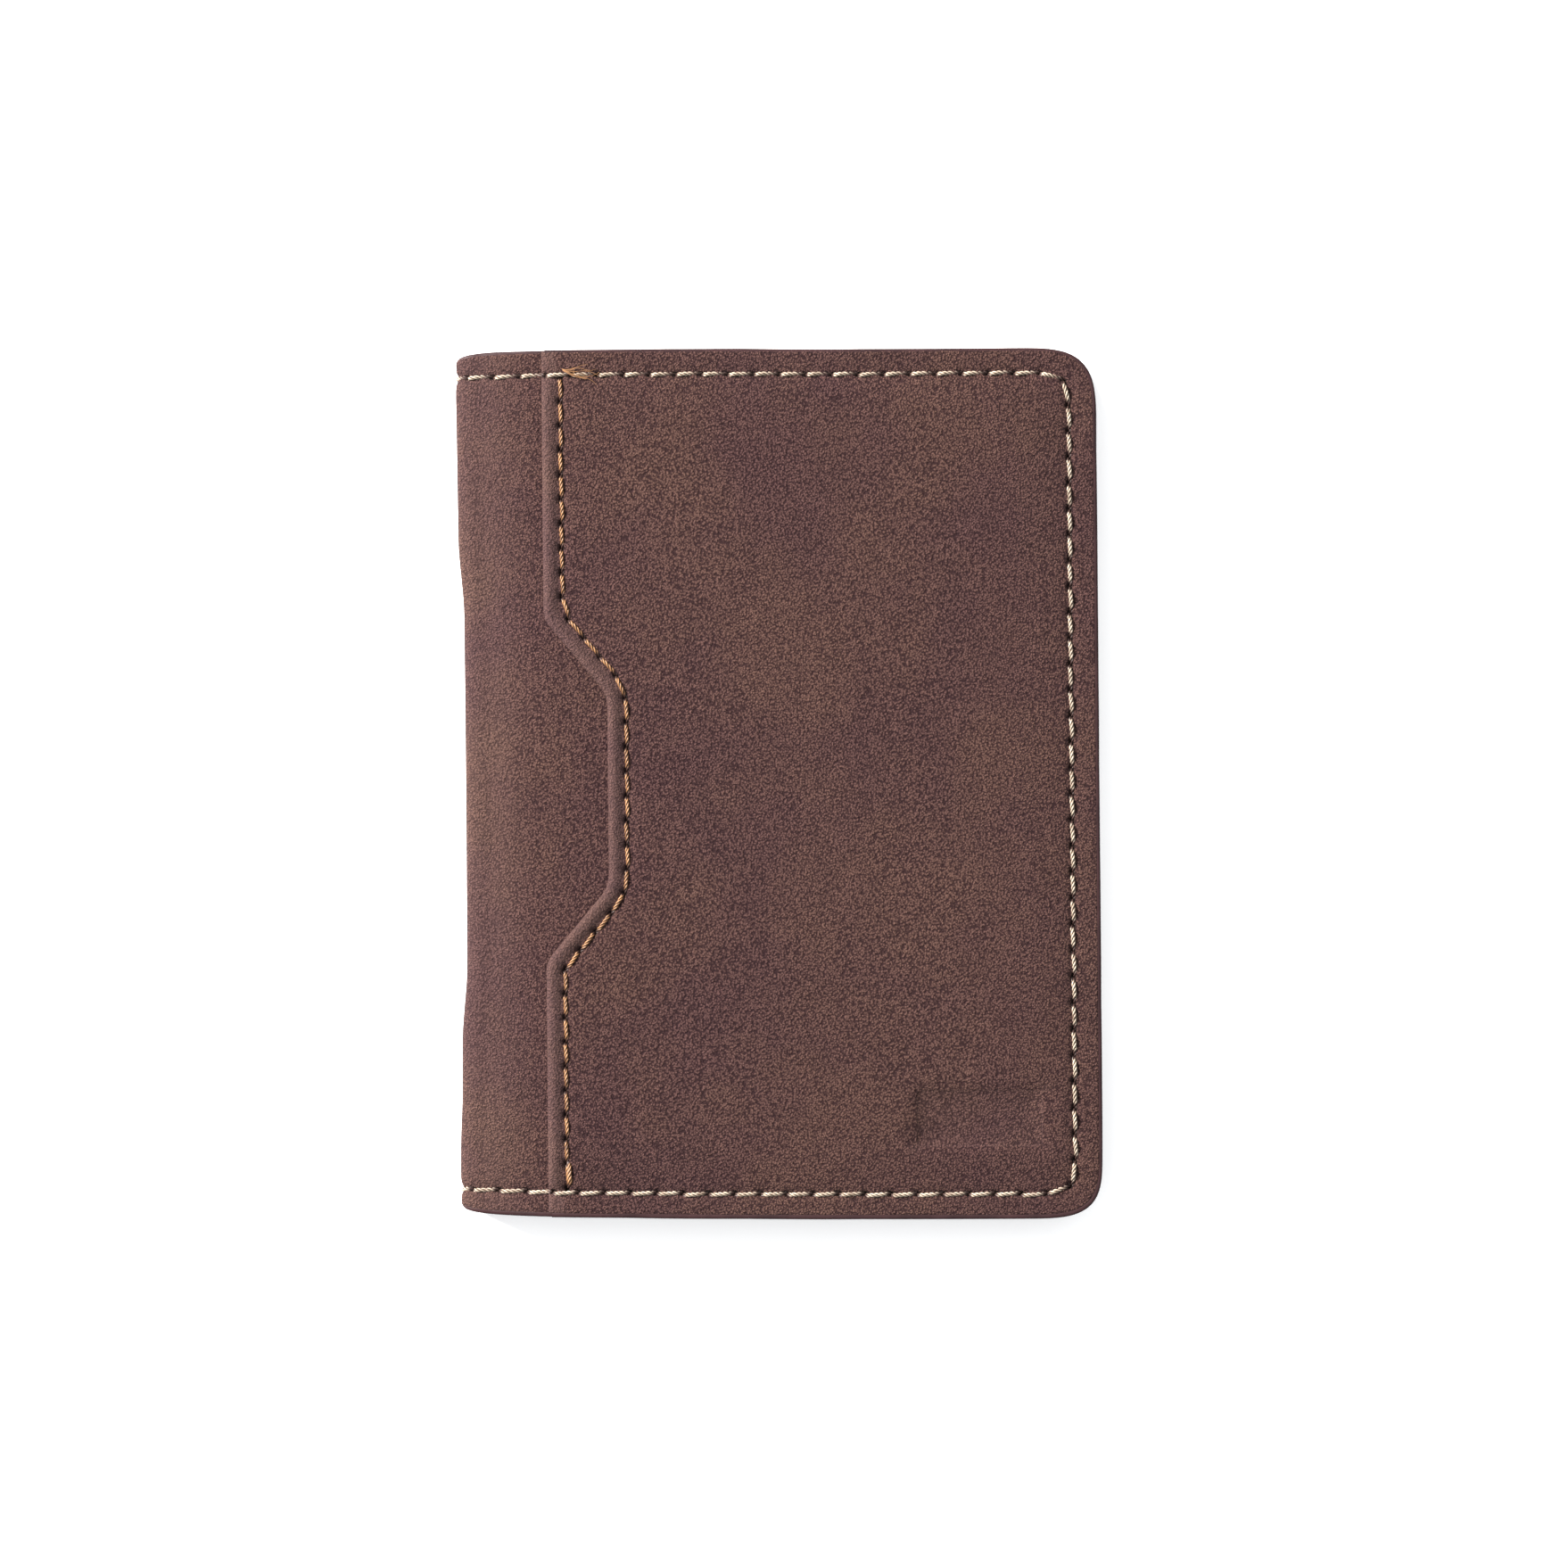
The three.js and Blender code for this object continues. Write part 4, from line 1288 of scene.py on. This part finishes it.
frayed = make_fibres("frayed_thread_ends", mouth_seam.holes[0] + [0.15, 0.9], 13, 5.2, TAN_THREAD, 4)
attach(frayed, "front_cover")
last, before = mouth_seam.holes[-1], mouth_seam.holes[-2]
backtack_line = np.vstack([last + [0.28, 0.1], before + [0.3, 0.6], last + [0.3, -0.1]])
backtack = Seam(backtack_line, np.linalg.norm(backtack_line[1] - backtack_line[0]), dent=0)
backtack_thread = make_stitches(
    "pocket_mouth_backtack",
    backtack,
    lambda cut: mouth_surface(cut) + 0.06,
    TAN_THREAD,
    0.44,
    0.1,
    front_up,
    even=SUNK,
)
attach(backtack_thread, "front_cover")

# %% [markdown]
# ## Inside the covers
# Each cover carries a block of inside panels, sewn at the fore edge and the bottom and open at the top, so
# that notes go in behind it. The back cover's block has three stepped card slots. The front cover's has one
# card pocket with a clear window.


# %% Levels that settle where the stack is sewn
def block_pinch(x, y):
    """1 where a block of inside panels is pressed by the seams at its fore edge and bottom."""
    return 0.85 * pinch(np.minimum(FORE_X - x, y + TOP_Y))


BLOCK_PRESS, SLOT_PRESS, FRAME_PRESS = 0.55, 0.81, 0.85  # how far the seams squeeze each layer


def settle(height, press):
    """A face at a height, moved by the press where the block is sewn down."""
    return lambda cut: height + block_pinch(*cut.T) * press


def block_edge(start, inset=0.3):
    """The sewn sides of a block, from a starting place near the spine."""
    return three_sides(start, FORE_X, CORNER, inset, BLOCK_TOP_Y)


def block_seam(start):
    """The seam that shows on a block, in line with the seam outside."""
    line = three_sides(start, FORE_X, SEAM_CORNER, SEAM_MARGIN, BLOCK_TOP_Y)
    return Seam(line, PITCH, dent=0.1, hole=0.32)


def inside_piece(name, ring, top, bottom, material, body, **more):
    """One sheet of a block, riding on its cover."""
    place = front_up if body == "front_cover" else straight_up
    piece = make_sheet(name, ring_of(ring), top, bottom, material, place=place, **more)
    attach(piece, body)
    return piece


# %% Divider linings and inner bases
for word, press, rests_on in (
    ("back", -BLOCK_PRESS, "back_lining"),
    ("front", BLOCK_PRESS, "front_inner_panel"),
):
    body, node = f"{word}_cover", f"{word}_divider_lining"
    divider = inside_piece(
        f"{word}_note_divider",
        block_edge(BLOCK_X + 0.6, 0.6),
        settle(high(node)[2], press),
        settle(low(node)[2], press),
        LINING_CLOTH,
        body,
        roll=0.05,
        grid=3.0,
    )
    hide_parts(node)
    node = f"{word}_inner_base"
    base = inside_piece(
        f"{word}_inner_panel",
        block_edge(BLOCK_X),
        settle(high(node)[2], press),
        settle(low(node)[2], press),
        INNER_LEATHER,
        body,
        roll=0.26,
    )
    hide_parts(node)

# %% Cloth behind the first two slots
back_base_top = settle(high("back_inner_base")[2], -BLOCK_PRESS)
for number, gap in ((1, 0.012), (2, 0.122)):
    node = f"card_slot_{number}_lining"
    cloth = inside_piece(
        f"card_slot_{number}_cloth",
        rectangle(low(node), high(node), 1),
        lambda cut, gap=gap: back_base_top(cut) + gap + 0.1,
        lambda cut, gap=gap: back_base_top(cut) + gap,
        LINING_CLOTH,
        "back_cover",
        roll=0.04,
        grid=3.0,
    )
    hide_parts(node)

# %% Three stepped card slots
INNER_HIDE = high("back_inner_base")[2] - low("back_inner_base")[2]
SLOT_EDGES = [low(f"card_slot_{name}")[0] for name in ("1_strip", "2_strip", "3_panel")]
SLOT_ENDS = [high("card_slot_1_strip")[0], high("card_slot_2_strip")[0], FORE_X]
SLOT_LEVEL = low("card_slot_3_panel")[2]
LAP_LEVEL = high("card_slot_3_panel")[2] - INNER_HIDE
CREASE_AT, CREASE_DEPTH = 1.1, 0.1
slot_seam = block_seam(1.0)


def crease(cut, edge):
    """The line that a hot iron leaves beside a turned edge."""
    return CREASE_DEPTH * np.exp(-(((cut[:, 0] - edge - CREASE_AT) / 0.2) ** 2))


def upright_row(x, offsets=(0.0,)):
    """A row of small triangles from the bottom of the block to its top."""
    return (np.array([[x, -TOP_Y], [x, BLOCK_TOP_Y]]), offsets, 1.2)


def slot_low(number):
    """The lower face of a slot's strip, which comes down off the end of the strip before it."""

    def face(cut):
        x = cut[:, 0]
        down = smooth((x - SLOT_ENDS[number - 1] - 0.25) / 2.6) if number else np.ones(len(x))
        return settle(LAP_LEVEL * (1 - down) + SLOT_LEVEL * down, -SLOT_PRESS)(cut)

    return face


for number, (edge, end) in enumerate(zip(SLOT_EDGES, SLOT_ENDS)):
    under = slot_low(number)
    is_panel = number == 2

    def over(cut, under=under, edge=edge, is_panel=is_panel):
        return under(cut) + INNER_HIDE - crease(cut, edge) - (slot_seam.dip(cut) if is_panel else 0)

    if is_panel:
        ring = block_edge(edge)
    else:
        ring = rectangle((edge, 0.3 - TOP_Y), (end, BLOCK_TOP_Y - 0.3), 0)
    rows = [upright_row(edge + CREASE_AT, (-0.4, -0.2, -0.1, 0, 0.1, 0.2, 0.4))]
    if number:
        rows += [upright_row(SLOT_ENDS[number - 1] + at) for at in (0.3, 0.7, 1.1, 1.5, 1.9, 2.3, 2.8)]
    if is_panel:
        rows.append(slot_seam.rows())
    masks = {"rub_and_highlight": lambda cut, edge=edge: 0.8 * (1 - smooth((cut[:, 0] - edge - 0.6) / 0.8))}
    if is_panel:
        masks["needle"] = slot_seam.needle
    strip = inside_piece(
        f"card_slot_{number + 1}",
        ring,
        over,
        under,
        INNER_LEATHER,
        "back_cover",
        rows=rows,
        roll=0.27,
        masks=masks,
    )
    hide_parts("card_slot_3_panel" if is_panel else f"card_slot_{number + 1}_strip")

slot_surface = settle(SLOT_LEVEL + INNER_HIDE, -SLOT_PRESS)
slot_thread = make_stitches(
    "card_slot_seam",
    slot_seam,
    lambda cut: slot_surface(cut) - slot_seam.furrow(cut),
    CREAM_THREAD,
    width=0.48,
)
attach(slot_thread, "back_cover")
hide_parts("card_slot_thread")


# %% Paint the block's edge
def back_block_top(cut):
    """The top of the pile at the block's own edge, which is thicker where slots overlap."""
    x = cut[:, 0]
    over = np.zeros(len(x))
    for start, end in ((SLOT_EDGES[1], SLOT_ENDS[0] + 1.5), (SLOT_EDGES[2], SLOT_ENDS[1] + 1.5)):
        over = np.maximum(over, smooth((x - start + 0.2) / 0.4) * smooth((end - x) / 1.6))
    slots = slot_surface(cut) + (LAP_LEVEL - SLOT_LEVEL) * over
    return np.where(x < SLOT_EDGES[0], back_base_top(cut), slots) - 0.04


back_block_paint = make_bead(
    "back_block_paint",
    block_edge(BLOCK_X + 0.2, 0.0),
    back_block_top,
    settle(low("back_divider_lining")[2] + 0.04, -BLOCK_PRESS - 0.01),
    straight_up,
    reach=0.36,
)
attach(back_block_paint, "back_cover")

# %% The window pocket
MOUTH_X = low("window_frame")[0]
frame_seam = block_seam(MOUTH_X + 3)
THUMB_RADIUS, THUMB_BACK = 8.0, 3.0
FILM_LAP = 4.0
FRAME_LOW = settle(low("window_frame")[2], FRAME_PRESS)
FRAME_HIGH = settle(high("window_frame")[2], FRAME_PRESS)
thumb_y = (BLOCK_TOP_Y - TOP_Y) / 2
thumb_turn = math.acos(THUMB_BACK / THUMB_RADIUS)
turn = np.linspace(-thumb_turn, thumb_turn, 25)
thumb = np.column_stack([np.cos(turn), np.sin(turn)]) * THUMB_RADIUS + (MOUTH_X - THUMB_BACK, thumb_y)
frame_ring = np.vstack([block_edge(MOUTH_X), thumb])
window_hole = rectangle(low("window_film")[:2] + FILM_LAP, high("window_film")[:2] - FILM_LAP, 4)
hole_line = closed_line(window_hole)


def frame_low(cut):
    """The frame's shown face, which looks down: creased round the window and stitched at the edges."""
    line = CREASE_DEPTH * np.exp(-(((distance_to(cut, hole_line) - 1.3) / 0.2) ** 2))
    mouth_crease = crease(cut, MOUTH_X) * (np.abs(cut[:, 1] - thumb_y) > 9)
    return FRAME_LOW(cut) + line + mouth_crease + frame_seam.dip(cut)


window_frame = inside_piece(
    "card_window_frame",
    frame_ring,
    FRAME_HIGH,
    frame_low,
    INNER_LEATHER,
    "front_cover",
    holes=[window_hole],
    rows=[frame_seam.rows(), (hole_line, (-1.7, -1.5, -1.3, -1.1), 0.8)],
    roll=0.27,
    masks={"needle": frame_seam.needle},
)
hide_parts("window_frame")
frame_thread = make_stitches(
    "window_frame_seam",
    frame_seam,
    lambda cut: FRAME_LOW(cut) + frame_seam.furrow(cut),
    CREAM_THREAD,
    width=0.48,
    place=front_up,
    up=-1,
)
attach(frame_thread, "front_cover")
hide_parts("window_frame_thread")


def front_block_low(cut):
    """The lower face of the pile at the block's own edge, thicker where the frame covers it."""
    base = settle(low("front_inner_base")[2], BLOCK_PRESS)(cut)
    return np.where(cut[:, 0] < MOUTH_X, base, FRAME_LOW(cut)) + 0.04


front_block_paint = make_bead(
    "front_block_paint",
    block_edge(BLOCK_X + 0.2, 0.0),
    settle(high("front_divider_lining")[2] - 0.04, BLOCK_PRESS),
    front_block_low,
    front_up,
    reach=0.36,
)
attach(front_block_paint, "front_cover")

# %% Its clear film
film = inside_piece(
    "card_window_film",
    rectangle(low("window_film"), high("window_film"), 6),
    level(high("window_film")[2]),
    level(low("window_film")[2]),
    CLEAR_FILM,
    "front_cover",
    roll=0.05,
    grid=4.0,
)
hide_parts("window_film")
